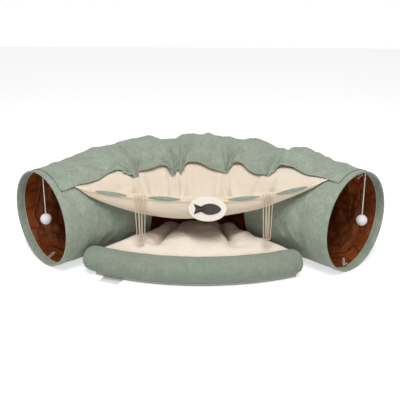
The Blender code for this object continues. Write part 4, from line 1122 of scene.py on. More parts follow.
def push_off(points, offset):
    """How far points move out of the tunnel, to clear its cloth and a rim that is pushed in past them."""
    along, level, rise = tunnel_place(points)
    half_width, half_height = tunnel_halves(along)
    near_rim = s_share(np.abs(along), rim_sweep_start - hem_facing, rim_sweep_start)
    mouth_place = np.copysign(half_length, along)
    rim_width, rim_height = tunnel_halves(mouth_place)
    rim_offset = (mouth_radius - mouth_shell_radius + rim_room) * near_rim
    rim_rise = points[..., 2] - axis_height(mouth_place)
    _, _, out_x, out_y = centreline(along)
    push = np.zeros(points.shape)
    for width, height, up, used in (
        (half_width + offset, half_height + offset, rise, near_rim >= 0),
        (rim_width + rim_offset, rim_height + rim_offset, rim_rise, near_rim > 0),
    ):
        share = np.hypot(level / width, up / height)
        stretch = np.where((share > 0) & (share < 1) & used, 1 / np.maximum(share, 1e-9) - 1, 0.0)
        way = np.stack([out_x * level * stretch, out_y * level * stretch, up * stretch], axis=-1)
        further = np.linalg.norm(way, axis=-1) > np.linalg.norm(push, axis=-1)
        push = np.where(further[..., None], way, push)
    return push


def band_frame(share):
    """The strap's top and bottom edges, the way along it and the way out of its front."""
    share = np.asarray(share, float)
    step = 0.01
    run = band_point(np.minimum(share + step, 1.0)) - band_point(np.maximum(share - step, -1.0))
    run[..., 2] = 0.0
    run = unit(run)
    top = band_point(share)
    along, level, rise = tunnel_place(top)
    _, _, out_x, out_y = centreline(along)
    tilt = np.arctan2(rise, -level)
    tangent = np.stack([out_x * np.sin(tilt), out_y * np.sin(tilt), np.cos(tilt)], axis=-1)
    lean = s_share(np.abs(share), 0.84, 0.98)[..., None]
    up = unit(upward * (1 - lean) + tangent * lean)
    depth = band_tip_height + (band_height - band_tip_height) * (1 - np.abs(share) ** 4)
    bottom = top - up * depth[..., None]
    push = push_off(top, band_lift)
    bottom_push = push_off(bottom, band_lift)
    further = np.linalg.norm(bottom_push, axis=-1) > np.linalg.norm(push, axis=-1)
    push = np.where(further[..., None], bottom_push, push)
    front = unit(np.cross(run, up))
    return top + push, bottom + push, run, front


print("the strap's middle:", band_frame(0.0)[0].round(3))

# %% [markdown]
# The strap is a doubled band of the same canvas. A flat ribbon would show a hard edge, so a rounded
# section runs along its curve, and its front is puckered a little by its stitches.

# %% The strap
strap_columns = 240
strap_pucker = 0.0003
strap_section_shares = (
    (0.0, 0.15), (0.35, 0.0), (0.65, 0.0), (0.97, 0.1), (1.0, 0.35), (1.0, 0.65), (0.97, 0.9),
    (0.65, 1.0), (0.35, 1.0), (0.02, 0.85), (0.0, 0.5),
)


def strap_rings():
    """The strap's rounded section along its length, with a slightly puckered front."""
    share = np.linspace(-1.0, 1.0, strap_columns)
    top, bottom, run, front = band_frame(share)
    pucker = strap_pucker * np.sin(share * 140) * (1 - np.abs(share) ** 4)
    rings = []
    for height, depth in strap_section_shares:
        out = (band_cloth * depth + pucker * (depth > 0.5))[:, None]
        rings.append(bottom + (top - bottom) * height + front * out)
    return np.stack(rings, axis=1)


strap = settle(swept("hammock_strap", strap_rings(), cream_canvas), "bed", "cream_cloth", "hammock_band")

# %% [markdown]
# The pocket's cloth comes out from under the cover, bellies down over the seat and rises to the strap. A
# table says how deep it hangs in each place. Folds run down from each gather of the cover and die out in
# the belly, and a last step lifts the cloth off the sleeves that it lies on.

# %% The pocket
sling_lift = 0.0022
sling_cloth = 0.0012
sling_seam_gap = 0.0012
sling_seam_overlap = 0.0030
belly_depth = 0.085
pocket_fold_depth = 0.018
pocket_columns = 200
pocket_held_rows = 16
pocket_free_rows = 90
pocket_seam_rows = 4
cover_grip_angle = math.radians(66)
pocket_leave_angle = math.radians(27)
strap_clear_angle = math.radians(3)
belly_depth_shares = np.array((
    (-1.0, 0.00), (-0.92, 0.30), (-0.80, 0.56), (-0.55, 0.84), (-0.20, 1.00), (0.00, 0.93),
    (0.20, 0.80), (0.50, 0.58), (0.75, 0.34), (0.92, 0.14), (1.0, 0.00),
))


def pocket_lines():
    """The middle surface of the pocket: lines from under the cover, through the belly, to the strap."""
    share = np.linspace(-1.0, 1.0, pocket_columns)
    top, bottom, run, front = band_frame(share)
    finish = bottom + unit(top - bottom) * sling_seam_overlap - front * (sling_cloth / 2 + sling_seam_gap)
    along, level, rise = tunnel_place(top)
    lift = sling_lift + sling_cloth / 2
    over_sleeve = s_share(np.abs(share), 0.45, 0.85)
    head = np.arctan2(rise, -level) + strap_clear_angle
    low = pocket_leave_angle * (1 - over_sleeve) + head * over_sleeve
    along = share * np.where(share >= 0, hammock_right_reach, hammock_left_reach)
    climb = np.arange(pocket_held_rows)[None, :] / pocket_held_rows
    angle = cover_grip_angle + (low[:, None] - cover_grip_angle) * climb
    held = tunnel_points(along[:, None], math.pi - angle, lift)
    start = tunnel_points(along, math.pi - low, lift)
    before = tunnel_points(along, math.pi - low - 0.04, lift)
    depth = belly_depth * smooth_table(belly_depth_shares[:, 0], belly_depth_shares[:, 1], share)
    span = np.linalg.norm(finish - start, axis=-1, keepdims=True)
    first = start + unit(start - before) * span * (0.5 - 0.15 * over_sleeve)[:, None]
    second = finish - upward * (1.35 * depth)[:, None]
    t = np.linspace(0.0, 1.0, pocket_free_rows)[None, :, None]
    free = (start[:, None] * (1 - t) ** 3 + first[:, None] * 3 * t * (1 - t) ** 2
            + second[:, None] * 3 * t ** 2 * (1 - t) + finish[:, None] * t ** 3)
    return np.concatenate([held, free], axis=1), share


def pocket_folds(share, rows):
    """Folds that hang from each gather of the cover and fade in the belly."""
    t = np.linspace(0.0, 1.0, rows)[None, :]
    fold = np.zeros((len(share), rows))
    for number, gather in enumerate(gather_shares):
        distance = (share - gather * 1.12)[:, None] - 0.03 * (t - 0.3) * (1 if number % 2 else -1)
        width = 0.022 + 0.075 * t
        fade = np.sin(np.pi * np.clip((t - 0.08) / 0.56, 0.0, 1.0)) ** 0.8
        fold -= fade * (np.exp(-(distance / width) ** 2)
                        - 0.6 * np.exp(-((np.abs(distance) - 0.055 - 0.06 * t) / width) ** 2))
    ends = np.clip(1 - np.abs(share) ** 8, 0.0, 1.0)[:, None]
    return fold * ends


pocket_middle, pocket_share = pocket_lines()
across_step = np.gradient(pocket_middle, axis=0)
down_step = np.gradient(pocket_middle, axis=1)
pocket_normal = unit(np.cross(down_step, across_step))
folds = pocket_folds(pocket_share, pocket_middle.shape[1])
pocket_middle = pocket_middle + pocket_normal * (pocket_fold_depth * folds)[..., None]
lifted = pocket_middle + push_off(pocket_middle, sling_lift + sling_cloth / 2)
pocket_middle[:, :-pocket_seam_rows] = lifted[:, :-pocket_seam_rows]
pocket = closed_cloth("hammock_pocket", pocket_middle + pocket_normal * sling_cloth / 2,
                      pocket_middle - pocket_normal * sling_cloth / 2, cream_canvas)
settle(pocket, "bed", "cream_cloth", "hammock_sling")

# %% [markdown]
# Four lens-shaped green insets are sewn on the strap. They could be painted on the strap's material, but
# real patches have an edge that catches the light. Each is a patch whose height swells and narrows along
# it, and whose face is slightly crowned.

# %% The insets
inset_height = 0.013
inset_cloth = 0.0012
strap_steps = 24
inset_columns = 40
inset_section_shares = (
    (-1.0, 0.0), (1.0, 0.0), (1.0, 0.6), (0.8, 0.95), (0.0, 1.0), (-0.8, 0.95), (-1.0, 0.6),
)


def inset(name, side, start, end, node):
    """A lens-shaped patch on the strap's front, between two of the strap's steps to a side."""
    step = np.linspace(start, end, inset_columns)
    top, bottom, run, front = band_frame(side * step / strap_steps)
    share = (step - start) / (end - start)
    half = inset_height / 2 * np.sin(np.pi * (0.06 + 0.88 * share))
    up = unit(top - bottom)
    middle = (top + bottom) / 2 + front * (band_cloth + fit_gap)
    rings = [middle + up * (half * height)[:, None] + front * inset_cloth * out
             for height, out in inset_section_shares]
    piece = swept(name, np.stack(rings, axis=1), sage_canvas)
    settle(piece, "bed", "sage_cloth", node)


inset("outer_left_inset", -1, 14, 20, "left_outer_inset")
inset("inner_left_inset", -1, 4, 10, "left_inner_inset")
inset("inner_right_inset", 1, 5, 11, "right_inner_inset")
inset("outer_right_inset", 1, 14, 20, "right_outer_inset")

# %% [markdown]
# ## The badge
# A felt patch hangs on the strap's front. Its picture here is a plain fish, cut from dark felt. A picture
# on the patch's material would be quicker, but cut felt has a thickness, so both are plates from an
# outline.

# %% The badge and its fish
badge_width = 0.108
badge_height = 0.074
badge_felt_thickness = 0.0025
badge_drop = 0.034
badge_shift = 0.016
fish_length = 0.078
fish_height = 0.034
fish_felt = 0.0010
oval_sides = 96
plate_edge_share = 0.4
plate_edge_most = 0.0008
fish_shares = (
    (1.00, 0.0), (0.90, 0.38), (0.70, 0.70), (0.42, 0.94), (0.12, 1.00), (-0.18, 0.84),
    (-0.44, 0.50), (-0.62, 0.22), (-0.74, 0.30), (-1.00, 0.92), (-0.86, 0.0),
)


def strap_share(distance):
    """The strap's share at a signed level distance from its middle."""
    tip = band_right_tip if distance >= 0 else band_left_tip
    return math.copysign(distance / (tip[0] - band_middle[0]), distance)


def felt_plate(name, outline, start, thickness, finish, crown):
    """A plate with rounded edges, from an outline of (across, up) points."""
    top, _, run, front = band_frame(strap_share(badge_shift))
    back = top + front * (band_cloth + fit_gap) - upward * badge_drop
    edge = min(thickness * plate_edge_share, plate_edge_most)
    rings = []
    for size, depth in ((0.02, 0.0), (1.0 - crown, 0.0), (1.0, edge), (1.0, thickness - edge),
                        (1.0 - crown, thickness), (0.6, thickness), (0.02, thickness)):
        points = outline * size
        rings.append(back + front * (start + depth) + run * points[:, :1] + upward * points[:, 1:])
    return swept(name, np.stack(rings), finish)


turns = np.arange(oval_sides) * math.tau / oval_sides
oval = np.stack([badge_width / 2 * np.cos(turns), badge_height / 2 * np.sin(turns)], axis=1)
upper_fish = np.array(fish_shares) * (fish_length / 2, fish_height / 2)
fish = np.concatenate([upper_fish, upper_fish[-2:0:-1] * (1, -1)])
badge = felt_plate("felt_badge", oval, 0.0, badge_felt_thickness, badge_felt, 0.012)
settle(badge, "bed", "badge_cloth", "badge_patch")
badge_fish = felt_plate("felt_fish", fish, badge_felt_thickness + fit_gap, fish_felt, dark_felt, 0.015)
settle(badge_fish, "bed", "dark_felt", "badge_fish")

# %% [markdown]
# ## The seat: cushion, roll and mat
# The cushion is stuffed and sewn down along two creases that run from its front to its back, so it puffs
# up in three lobes. A pressure simulation could puff it up, but it would move the creases off the places
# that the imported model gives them. The part's own formula gives its plan and its crown, and the scene
# adds finer folds.

# %% The cushion's plan and creases
base_thickness = 0.008
bolster_diameter = 0.075
bolster_arc_radius = 0.620
bolster_front_reach = 0.163
bolster_half_width = 0.308
bolster_centre_x = -0.009
base_lip = 0.009
cushion_height = 0.090
cushion_edge_height = 0.050
cushion_bottom_inset = 0.012
cushion_front_half_width = 0.284
cushion_waist_half_width = 0.156
cushion_waist_y = 0.074
cushion_rear_half_width = 0.118
cushion_rear_y = 0.186
crease_depth = 0.026
crease_radius = 0.024
cushion_pucker = 0.0030
cushion_fold_height = 0.0110
crease_shares = (
    ((-0.50, 0.16), (-0.56, 0.36), (-0.58, 0.52), (-0.56, 0.80), (-0.55, 0.97)),
    ((0.45, 0.13), (0.48, 0.34), (0.53, 0.52), (0.58, 0.84), (0.58, 0.97)),
)
bolster_centre_y = bolster_arc_radius - bolster_front_reach + bolster_diameter / 2
bolster_height = base_thickness + fit_gap + bolster_diameter / 2


def arc_y(x, radius):
    """The front side of a level circle round the roll's centre of bend."""
    return bolster_centre_y - np.sqrt(radius ** 2 - (x - bolster_centre_x) ** 2)


def cushion_plan(across, deep):
    """A place on the cushion's plan: across from -1 to 1, deep from its front edge to its rear."""
    front_radius = bolster_arc_radius - bolster_diameter / 2 - fit_gap
    across, deep = np.broadcast_arrays(np.asarray(across, float), np.asarray(deep, float))
    front_x = across * cushion_front_half_width
    rows = (
        np.stack([front_x, arc_y(front_x, front_radius)], axis=-1),
        np.stack([across * cushion_waist_half_width, 0 * across + cushion_waist_y], axis=-1),
        np.stack([across * cushion_rear_half_width, 0 * across + cushion_rear_y], axis=-1),
    )
    weights = ((1 - deep) * (1 - 2 * deep), 4 * deep * (1 - deep), deep * (2 * deep - 1))
    return sum(row * weight[..., None] for row, weight in zip(rows, weights))


def crease_distance(place):
    """How far places on the cushion's plan are from the nearest crease."""
    nearest = np.full(place.shape[:-1], cushion_front_half_width)
    for crease in crease_shares:
        route = [cushion_plan(*row) for row in crease]
        for start, end in zip(route, route[1:]):
            way = end - start
            share = np.clip((place - start) @ way / (way @ way), 0.0, 1.0)
            nearest = np.minimum(nearest, np.linalg.norm(place - start - share[..., None] * way, axis=-1))
    return nearest


def cushion_top(across, deep):
    """The cushion's height over its edge: a crown, less its creases, and the cloth's small folds."""
    crown = (1 - np.abs(across) ** 8) * (1 - np.abs(2 * deep - 1) ** 4)
    place = cushion_plan(across, deep)
    to_crease = crease_distance(place) / crease_radius
    dent = crease_depth * (0.50 * np.exp(-to_crease ** 2) + 0.80 * np.exp(-(to_crease / 0.35) ** 2))
    puckers = np.sin(150 * place[..., 1] + 30 * place[..., 0]) * to_crease * np.exp(-to_crease ** 2)
    ridges = soft_ridges(place[..., 0], place[..., 1], 0.120, 1.1)
    folds = cushion_fold_height * (ridges - 0.5) + cushion_pucker * puckers
    return (cushion_height - cushion_edge_height) * crown ** 0.5 + (folds - dent) * crown


print("the cushion's middle:", cushion_plan(0.0, 0.5).round(3), "crown:", cushion_top(0.0, 0.5).round(3))

# %% [markdown]
# The cushion's mesh is a grid for its top, rings down its rounded side and one face below. A Subdivision
# Surface on a box would round it everywhere alike. The grid is closer at its rim, where the cloth turns
# down.

# %% The cushion
def seat_cushion(across_steps=150, deep_steps=90, side_steps=10):
    """The cushion's top grid, a rounded side and a flat bottom."""
    across = np.sin(np.pi / 2 * np.linspace(-1.0, 1.0, across_steps + 1))[:, None]
    deep = ((1 - np.cos(np.pi * np.linspace(0.0, 1.0, deep_steps + 1))) / 2)[None, :]
    plan = cushion_plan(across, deep)
    floor = base_thickness + fit_gap
    height = floor + cushion_edge_height + cushion_top(across, deep)
    top = np.concatenate([plan, height[..., None]], axis=-1).reshape(-1, 3)
    number = np.arange(len(top)).reshape(height.shape)
    faces = np.stack([number[:-1, :-1], number[1:, :-1], number[1:, 1:], number[:-1, 1:]], axis=-1)
    faces = faces.reshape(-1, 4).tolist()
    rim = np.concatenate([number[:-1, 0], number[-1, :-1], number[:0:-1, -1], number[0, :0:-1]])
    edge = top[rim]
    inwards = unit(np.array((0.0, cushion_waist_y)) - edge[:, :2])
    points = [top]
    last = rim
    for step in range(side_steps):
        share = (step + 1) / side_steps
        level = edge[:, :2] + inwards * cushion_bottom_inset * share ** 2
        drop = floor + (edge[:, 2] - floor) * (1 - share)
        points.append(np.column_stack([level, drop]))
        ring = len(top) + step * len(rim) + np.arange(len(rim))
        faces += np.stack([last, ring, np.roll(ring, -1), np.roll(last, -1)], axis=1).tolist()
        last = ring
    faces.append(last.tolist())
    points = np.concatenate(points)
    face_uv = [points[face, :2].tolist() for face in faces]
    return solid_from("cushion", points, faces, face_uv, cushion_cotton)


cushion = settle(seat_cushion(), "bed", "cushion_cloth", "seat_cushion")

# %% [markdown]
# The roll is a stuffed tube that is drawn in at both ends. A capsule would look blown up, so a ring is
# scaled down towards each end by a table, with gathers round the end and a slightly lumpy filling.

# %% The stuffed roll
roll_end_shares = np.array((
    (0.0, 0.10), (0.02, 0.30), (0.05, 0.50), (0.10, 0.66), (0.17, 0.79), (0.27, 0.88), (0.40, 0.94),
    (0.55, 0.975), (0.75, 0.995), (1.0, 1.0),
))
roll_columns = 150
roll_sides = 72
roll_gathers = 15
roll_gather_reach = 0.020
roll_gather_share = 0.045
roll_lump_share = 0.010


def stuffed_roll():
    """A bent roll with gathered ends and a slightly lumpy filling."""
    radius = bolster_diameter / 2
    half_turn = math.asin(bolster_half_width / bolster_arc_radius)
    reach, size = roll_end_shares.T
    ends = half_turn - reach * radius / bolster_arc_radius
    inner = np.linspace(-ends[-1], ends[-1], roll_columns)[1:-1]
    turn = np.concatenate([-ends, inner, ends[::-1]])
    scale = np.concatenate([size, np.ones(len(inner)), size[::-1]])[:, None]
    angle = (np.arange(roll_sides) * math.tau / roll_sides)[None, :]
    from_end = (half_turn - np.abs(turn)) * bolster_arc_radius
    lumps = (0.5 * np.sin(turn * 38 + 1.0) + 0.5 * np.sin(turn * 71))[:, None]
    gather = np.exp(-from_end / roll_gather_reach)[:, None]
    drawn_in = roll_gather_share * gather * scale * (1 + np.cos(roll_gathers * angle)) / 2
    local = radius * (scale - roll_lump_share * (lumps + 1) * (1 - gather) - drawn_in)
    outward = np.stack([np.sin(turn), -np.cos(turn), 0 * turn], axis=-1)
    bend = np.array((bolster_centre_x, bolster_centre_y, bolster_height))
    centre = bend + outward * bolster_arc_radius
    rings = (centre[:, None] + outward[:, None] * (np.cos(angle) * local)[..., None]
             + upward * (np.sin(angle) * local)[..., None])
    return swept("stuffed_roll", rings, bolster_canvas)


roll = settle(stuffed_roll(), "bed", "sage_cloth", "bolster")

# %% [markdown]
# The mat is a thin pad of undyed cloth under cushion and roll. Its outline is worked out from what it
# lies against: the bend's cloth behind, the sleeves at its sides and the roll in front.

# %% The floor mat
mat_side_inset = 0.125
mat_edge_round = 0.0015


def floor_mat():
    """The pad under the cushion and the roll, with a rounded edge all round."""
    rear_radius = bend_radius + float(tunnel_halves(0.0)[0]) * math.cos(window_bottom_angle) - fit_gap
    trim = fit_gap / rear_radius
    limit = window_half_angle - trim
    turn = np.linspace(-limit, limit, 60)
    local = rear_radius - (middle_radius - tunnel_halves(bend_radius * turn)[0])
    rear = np.stack([local * np.sin(turn), bend_centre_y + local * np.cos(turn)], axis=1)
    side_radius = bend_radius - mat_side_inset
    start_x, start_y, out_x, out_y = (float(v) for v in centreline(bend_length))
    side = [(side_radius * math.sin(t), bend_centre_y + side_radius * math.cos(t))
            for t in (limit, bend_half_angle)]
    corner_x = bolster_half_width - base_lip
    from_x, from_y = start_x - out_x * mat_side_inset, start_y - out_y * mat_side_inset
    reach = (corner_x - from_x) / math.cos(bend_half_angle)
    side.append((corner_x, from_y - math.sin(bend_half_angle) * reach))
    front_half = corner_x - base_lip
    x = np.linspace(front_half, -front_half, 80)
    front = np.stack([x, arc_y(x, bolster_arc_radius + base_lip)], axis=1)
    left = [(-px, py) for px, py in reversed(side)]
    outline = np.concatenate([rear, side, front, left])
    outwards = unit(outline - outline.mean(axis=0))
    rings = []
    for inwards, height in ((mat_edge_round, 0.0), (0.0, mat_edge_round),
                            (0.0, base_thickness - mat_edge_round), (mat_edge_round, base_thickness)):
        rings.append(np.column_stack([outline - outwards * inwards, np.full(len(outline), height)]))
    return swept("floor_mat", np.stack(rings), pad_cloth)


mat = settle(floor_mat(), "bed", "pad_cloth", "mat_base")

# %% [markdown]
# A blank tape runs out of the mat's front seam and lies on the floor. Its cloth could be dropped by a
# simulation. One curve that falls from the seam to the floor, and a slight wave, say the same.

# %% The blank tape
label_width = 0.064
label_length = 0.036
label_thickness = 0.0006
label_position = -0.224
label_drop_length = 0.010
label_wave = 0.0008
label_steps = 30


def blank_tape():
    """The tape's own curve, from the seam down to the floor, and a slight wave across it."""
    radius = bolster_arc_radius + base_lip
    turn = math.asin(label_position / radius)
    outward = np.array((math.sin(turn), -math.cos(turn), 0.0))
    aside = np.array((math.cos(turn), math.sin(turn), 0.0))
    half = label_width / 2
    sagitta = radius - math.sqrt(radius ** 2 - half ** 2)
    start = np.array((bolster_centre_x, bolster_centre_y, 0.0)) + outward * (radius + fit_gap + sagitta / 2)
    out = np.linspace(0.0, label_length, label_steps)
    high = base_thickness / 2 * (1 - s_share(out, 0.0, label_drop_length))
    across = np.linspace(-half, half, label_steps)
    wave = np.sin(np.linspace(0, 9, label_steps))[:, None] * np.sin(np.linspace(0, 5, label_steps))[None, :]
    ripple = label_wave * (wave + 1) * s_share(out, label_drop_length, label_length)[None, :]
    low = (start + aside * across[:, None, None] + outward * out[None, :, None]
           + upward * (high[None, :] + ripple)[..., None])
    return closed_cloth("blank_tape", low + upward * label_thickness, low, label_tape)


tape = settle(blank_tape(), "bed", "label_tape_cloth", "care_label")

# %% [markdown]
# ## Cords: tassels, toys and ties
# Every cord is a tube along its own route, and its length is the route's length. A curve object with a
# bevel makes such a tube too, but has no UV map in metres for the strands, so the rings are placed here.

# %% A tube of cord
def smooth_route(points, steps):
    """A Catmull-Rom curve through a row of points."""
    points = np.asarray(points, float)
    padded = np.concatenate([[2 * points[0] - points[1]], points, [2 * points[-1] - points[-2]]])
    route = []
    for i in range(len(points) - 1):
        p0, p1, p2, p3 = padded[i:i + 4]
        for k in range(steps):
            t = k / steps
            route.append(0.5 * (2 * p1 + (p2 - p0) * t + (2 * p0 - 5 * p1 + 4 * p2 - p3) * t ** 2
                                + (3 * p1 - p0 - 3 * p2 + p3) * t ** 3))
    route.append(points[-1])
    return np.array(route)


route_steps = 3
arc_steps = 12
end_size_share = 0.72


def loop_steps(straight, radius, leg_steps):
    """How far across and ahead the steps of a loop lie: a leg ahead, half a turn and a leg back."""
    leg = np.arange(leg_steps) * straight / leg_steps
    turn = np.linspace(0.0, math.pi, arc_steps + 1)
    side = np.full(leg_steps, radius)
    across = np.concatenate([-side, -radius * np.cos(turn), side])[:, None]
    ahead = np.concatenate([leg, straight + radius * np.sin(turn), leg[::-1]])[:, None]
    return across, ahead


def cord_tube(name, route, diameter, finish, sides=12):
    """A round tube along a route, with narrowed ends and a frame that doesn't twist."""
    route = np.asarray(route, float)
    way = unit(np.gradient(route, axis=0))
    helper = upward if abs(way[0][2]) < 0.9 else np.array((1.0, 0.0, 0.0))
    side = unit(np.cross(way[0], helper))
    turns = np.arange(sides) * math.tau / sides
    rings = []
    for i, place in enumerate(route):
        side = unit(side - way[i] * (side @ way[i]))
        other = np.cross(way[i], side)
        size = diameter / 2 * (end_size_share if i in (0, len(route) - 1) else 1.0)
        rings.append([place + size * (side * math.cos(t) + other * math.sin(t)) for t in turns])
    return swept(name, rings, finish)


print("steps in half a turn of cord:", arc_steps * route_steps)

# %% [markdown]
# A tassel is three loops of twisted cord that hang from the strap and lean together towards their ends.
# Particle hair would hang too, but these are six strands that can be counted, so each loop is a cord.

# %% The tassels
tassel_length = 0.142
tassel_cord = 0.0026
tassel_loop_radius = 0.0048
tassel_loop_pitch = 0.0098
tassel_gather = 0.0045


def tassel(hand, distance):
    """Three hanging loops of cord on the strap's top edge."""
    top, _, run, front = band_frame(strap_share(distance))
    hang = top + front * (band_cloth + fit_gap + tassel_cord / 2)
    straight = tassel_length - tassel_loop_radius - tassel_cord / 2
    across, drop = loop_steps(straight, tassel_loop_radius, arc_steps)
    for number in (-1, 0, 1):
        layer = front * (abs(number - 1) * (tassel_cord + fit_gap))
        lean = number * (tassel_loop_pitch - tassel_gather * drop / tassel_length)
        route = smooth_route(hang + layer + run * (across + lean) - upward * drop, route_steps)
        name = f"{hand}_tassel_cord_{number + 2}"
        cord = cord_tube(name, route, tassel_cord, cream_twist)
        settle(cord, hand + "_tassel", "cream_cord", f"{hand}_tassel_loop_{number + 2}")


tassel("left", -0.174)
tassel("right", 0.184)

# %% [markdown]
# Each toy is a plush ball on a cord under a tape tab. The tab turns about the tunnel's run and the cord
# swings along it, so the two ride on different bodies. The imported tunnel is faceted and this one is
# round, so the tab's head is set down by the facet's sag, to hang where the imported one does.

# %% The toys
toy_ball_diameter = 0.033
toy_cord_diameter = 0.003
toy_tab_width = 0.008
toy_tab_top_width = 0.0014
toy_tab_height = 0.007
toy_tab_tape = 0.0016
toy_inset = 0.010
toy_hinge_gap = 0.0009
toy_cord_steps = 30
plush_bump = 0.0004
packed_facets = 32
mouth_offset = -cloth_stack - fit_gap - hem_cloth
tab_section_shares = (
    (-1.0, -0.5), (-0.9, -1.0), (0.9, -1.0), (1.0, -0.5), (1.0, 0.5), (0.9, 1.0), (-0.9, 1.0), (-1.0, 0.5),
)


def facet_sag(angle):
    """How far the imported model's flat facet lies inside the true round at an angle."""
    ring_step = math.tau / packed_facets
    from_middle = (angle % ring_step) - ring_step / 2
    return mouth_radius * (1 - math.cos(ring_step / 2) / math.cos(from_middle))


def plush_ball(name, centre, radius):
    """A ball whose surface has the small bumps of clipped plush."""
    shape = bmesh.new()
    bmesh.ops.create_icosphere(shape, subdivisions=5, radius=radius)
    for vert in shape.verts:
        p = vert.co.normalized()
        bumps = math.sin(31 * p.x + 3 * p.z) * math.sin(29 * p.y + 2 * p.x) * math.sin(33 * p.z + 4 * p.y)
        vert.co = p * (radius - plush_bump + plush_bump * bumps) + Vector(centre)
    mesh = bpy.data.meshes.new(name)
    shape.to_mesh(mesh)
    shape.free()
    mesh.shade_smooth()
    return new_piece(name, mesh, white_plush)


def mouth_ways(side, along):
    """The level ways out of the bend and out of the mouth, at a place along a sleeve."""
    _, _, out_x, out_y = (float(v) for v in centreline(along))
    return np.array((out_x, out_y, 0.0)), -np.array(way_in(side))


def tape_tab(name, head, outward, forward):
    """A short tape that widens downwards."""
    rings = []
    for drop in np.linspace(0.0, toy_tab_height, 8):
        width = toy_tab_top_width + (toy_tab_width - toy_tab_top_width) * drop / toy_tab_height
        rings.append([head + outward * (u * width / 2) + forward * (v * toy_tab_tape / 2) - upward * drop
                      for u, v in tab_section_shares])
    return swept(name, rings, label_tape)


def toy(side, hand, angle, cord_length):
    """A tab, a cord and a ball in the top of a mouth."""
    along = side * (half_length - toy_inset)
    head = tunnel_points(along, angle, mouth_offset - facet_sag(angle)) - upward * toy_hinge_gap
    tab = tape_tab(hand + "_tab", head, *mouth_ways(side, along))
    settle(tab, hand + "_toy_hanger", "white_cord", hand + "_toy_tab")
    cord_top = head - upward * (toy_tab_height + toy_hinge_gap)
    route = cord_top - upward * np.linspace(0.0, cord_length, toy_cord_steps)[:, None]
    cord = cord_tube(hand + "_cord", route, toy_cord_diameter, white_braid)
    settle(cord, hand + "_toy", "white_cord", hand + "_toy_cord")
    radius = toy_ball_diameter / 2
    ball = plush_ball(hand + "_ball", route[-1] - upward * (fit_gap + radius), radius)
    settle(ball, hand + "_toy", "white_felt", hand + "_toy_ball")


toy(-1, "left", math.radians(97), 0.109)
toy(1, "right", math.radians(73), 0.119)

# %% [markdown]
# The ties are small loops inside the mouths, and two of them hold a turned wooden bar. When the tunnel is
# folded flat, the bars would button it up. A loop has the tassel's form, at a slant to its facing.

# %% The ties and their toggles
tie_cord = 0.0018
tie_root = 0.003
tie_loop_radius = 0.0040
tie_leg_steps = 6
toggle_length = 0.022
toggle_diameter = 0.0052
toggle_sides = 24
toggle_shares = np.array((
    (-1.0, 0.45), (-0.85, 0.85), (-0.50, 1.00), (-0.12, 0.72), (0.12, 0.72), (0.50, 1.00),
    (0.85, 0.85), (1.0, 0.45),
))


def tie_loop(name, side, angle, lean, length, node):
    """A loop of cord on the facing inside a mouth."""
    along = side * (sleeve_edge - hem_facing + tie_root)
    seat = mouth_offset - fit_gap - facet_sag(angle) - tie_cord / 2 * math.cos(lean)
    start = tunnel_points(along, angle, seat)
    outward, forward = mouth_ways(side, along)
    inward = -outward * math.cos(angle) - upward * math.sin(angle)
    across = upward * math.cos(angle) - outward * math.sin(angle)
    run = inward * math.sin(lean) - forward * math.cos(lean)
    aside, ahead = loop_steps(length - tie_loop_radius, tie_loop_radius, tie_leg_steps)
    route = smooth_route(start + across * aside + run * ahead, route_steps)
    hand = "left" if side < 0 else "right"
    cord = cord_tube(name, route, tie_cord, white_braid, sides=10)
    settle(cord, hand + "_mouth", "white_cord", node)
    return start, run, across


def toggle(name, hang, place_share, length, turn, node):
    """A turned wooden bar across a loop."""
    start, run, across = hang
    bar = across * math.cos(turn) + run * math.sin(turn)
    face = np.cross(run, across)
    face = -face if face[0] < 0 else face
    middle = start + run * (place_share * length) + face * (tie_cord / 2 + fit_gap + toggle_diameter / 2)
    other = np.cross(bar, face)
    shares = np.linspace(-1.0, 1.0, 40)
    sizes = smooth_table(toggle_shares[:, 0], toggle_shares[:, 1], shares)
    turns = np.arange(toggle_sides) * math.tau / toggle_sides
    rings = [[middle + bar * (s * toggle_length / 2)
              + (face * math.cos(t) + other * math.sin(t)) * toggle_diameter / 2 * size for t in turns]
             for s, size in zip(shares, sizes)]
    settle(swept(name, rings, toggle_wood), "right_mouth", "toggle_wood", node)


tie_loop("left_low_tie", -1, math.radians(275.6), math.radians(32), 0.025, "left_bottom_tie")
low_hang = tie_loop("right_low_tie", 1, math.radians(264.4), math.radians(80), 0.025, "right_bottom_tie")
top_hang = tie_loop("right_high_tie", 1, math.radians(73.1), math.radians(70), 0.015, "right_top_tie")
toggle("low_toggle", low_hang, 0.32, 0.025, 0.0, "right_bottom_toggle")
toggle("high_toggle", top_hang, 0.80, 0.015, math.radians(48), "right_top_toggle")

# %% [markdown]
# ## Stitches
# A row of stitches is one short thread, repeated along a seam. An array and a curve modifier could lay it,
# but they need the count, and bend every copy. Geometry Nodes work from the pitch: the seam's curve is
# resampled, a stitch is put on every point and turned along the curve, and the instances are made real.
# The pitch, length and thickness are the tree's named inputs.

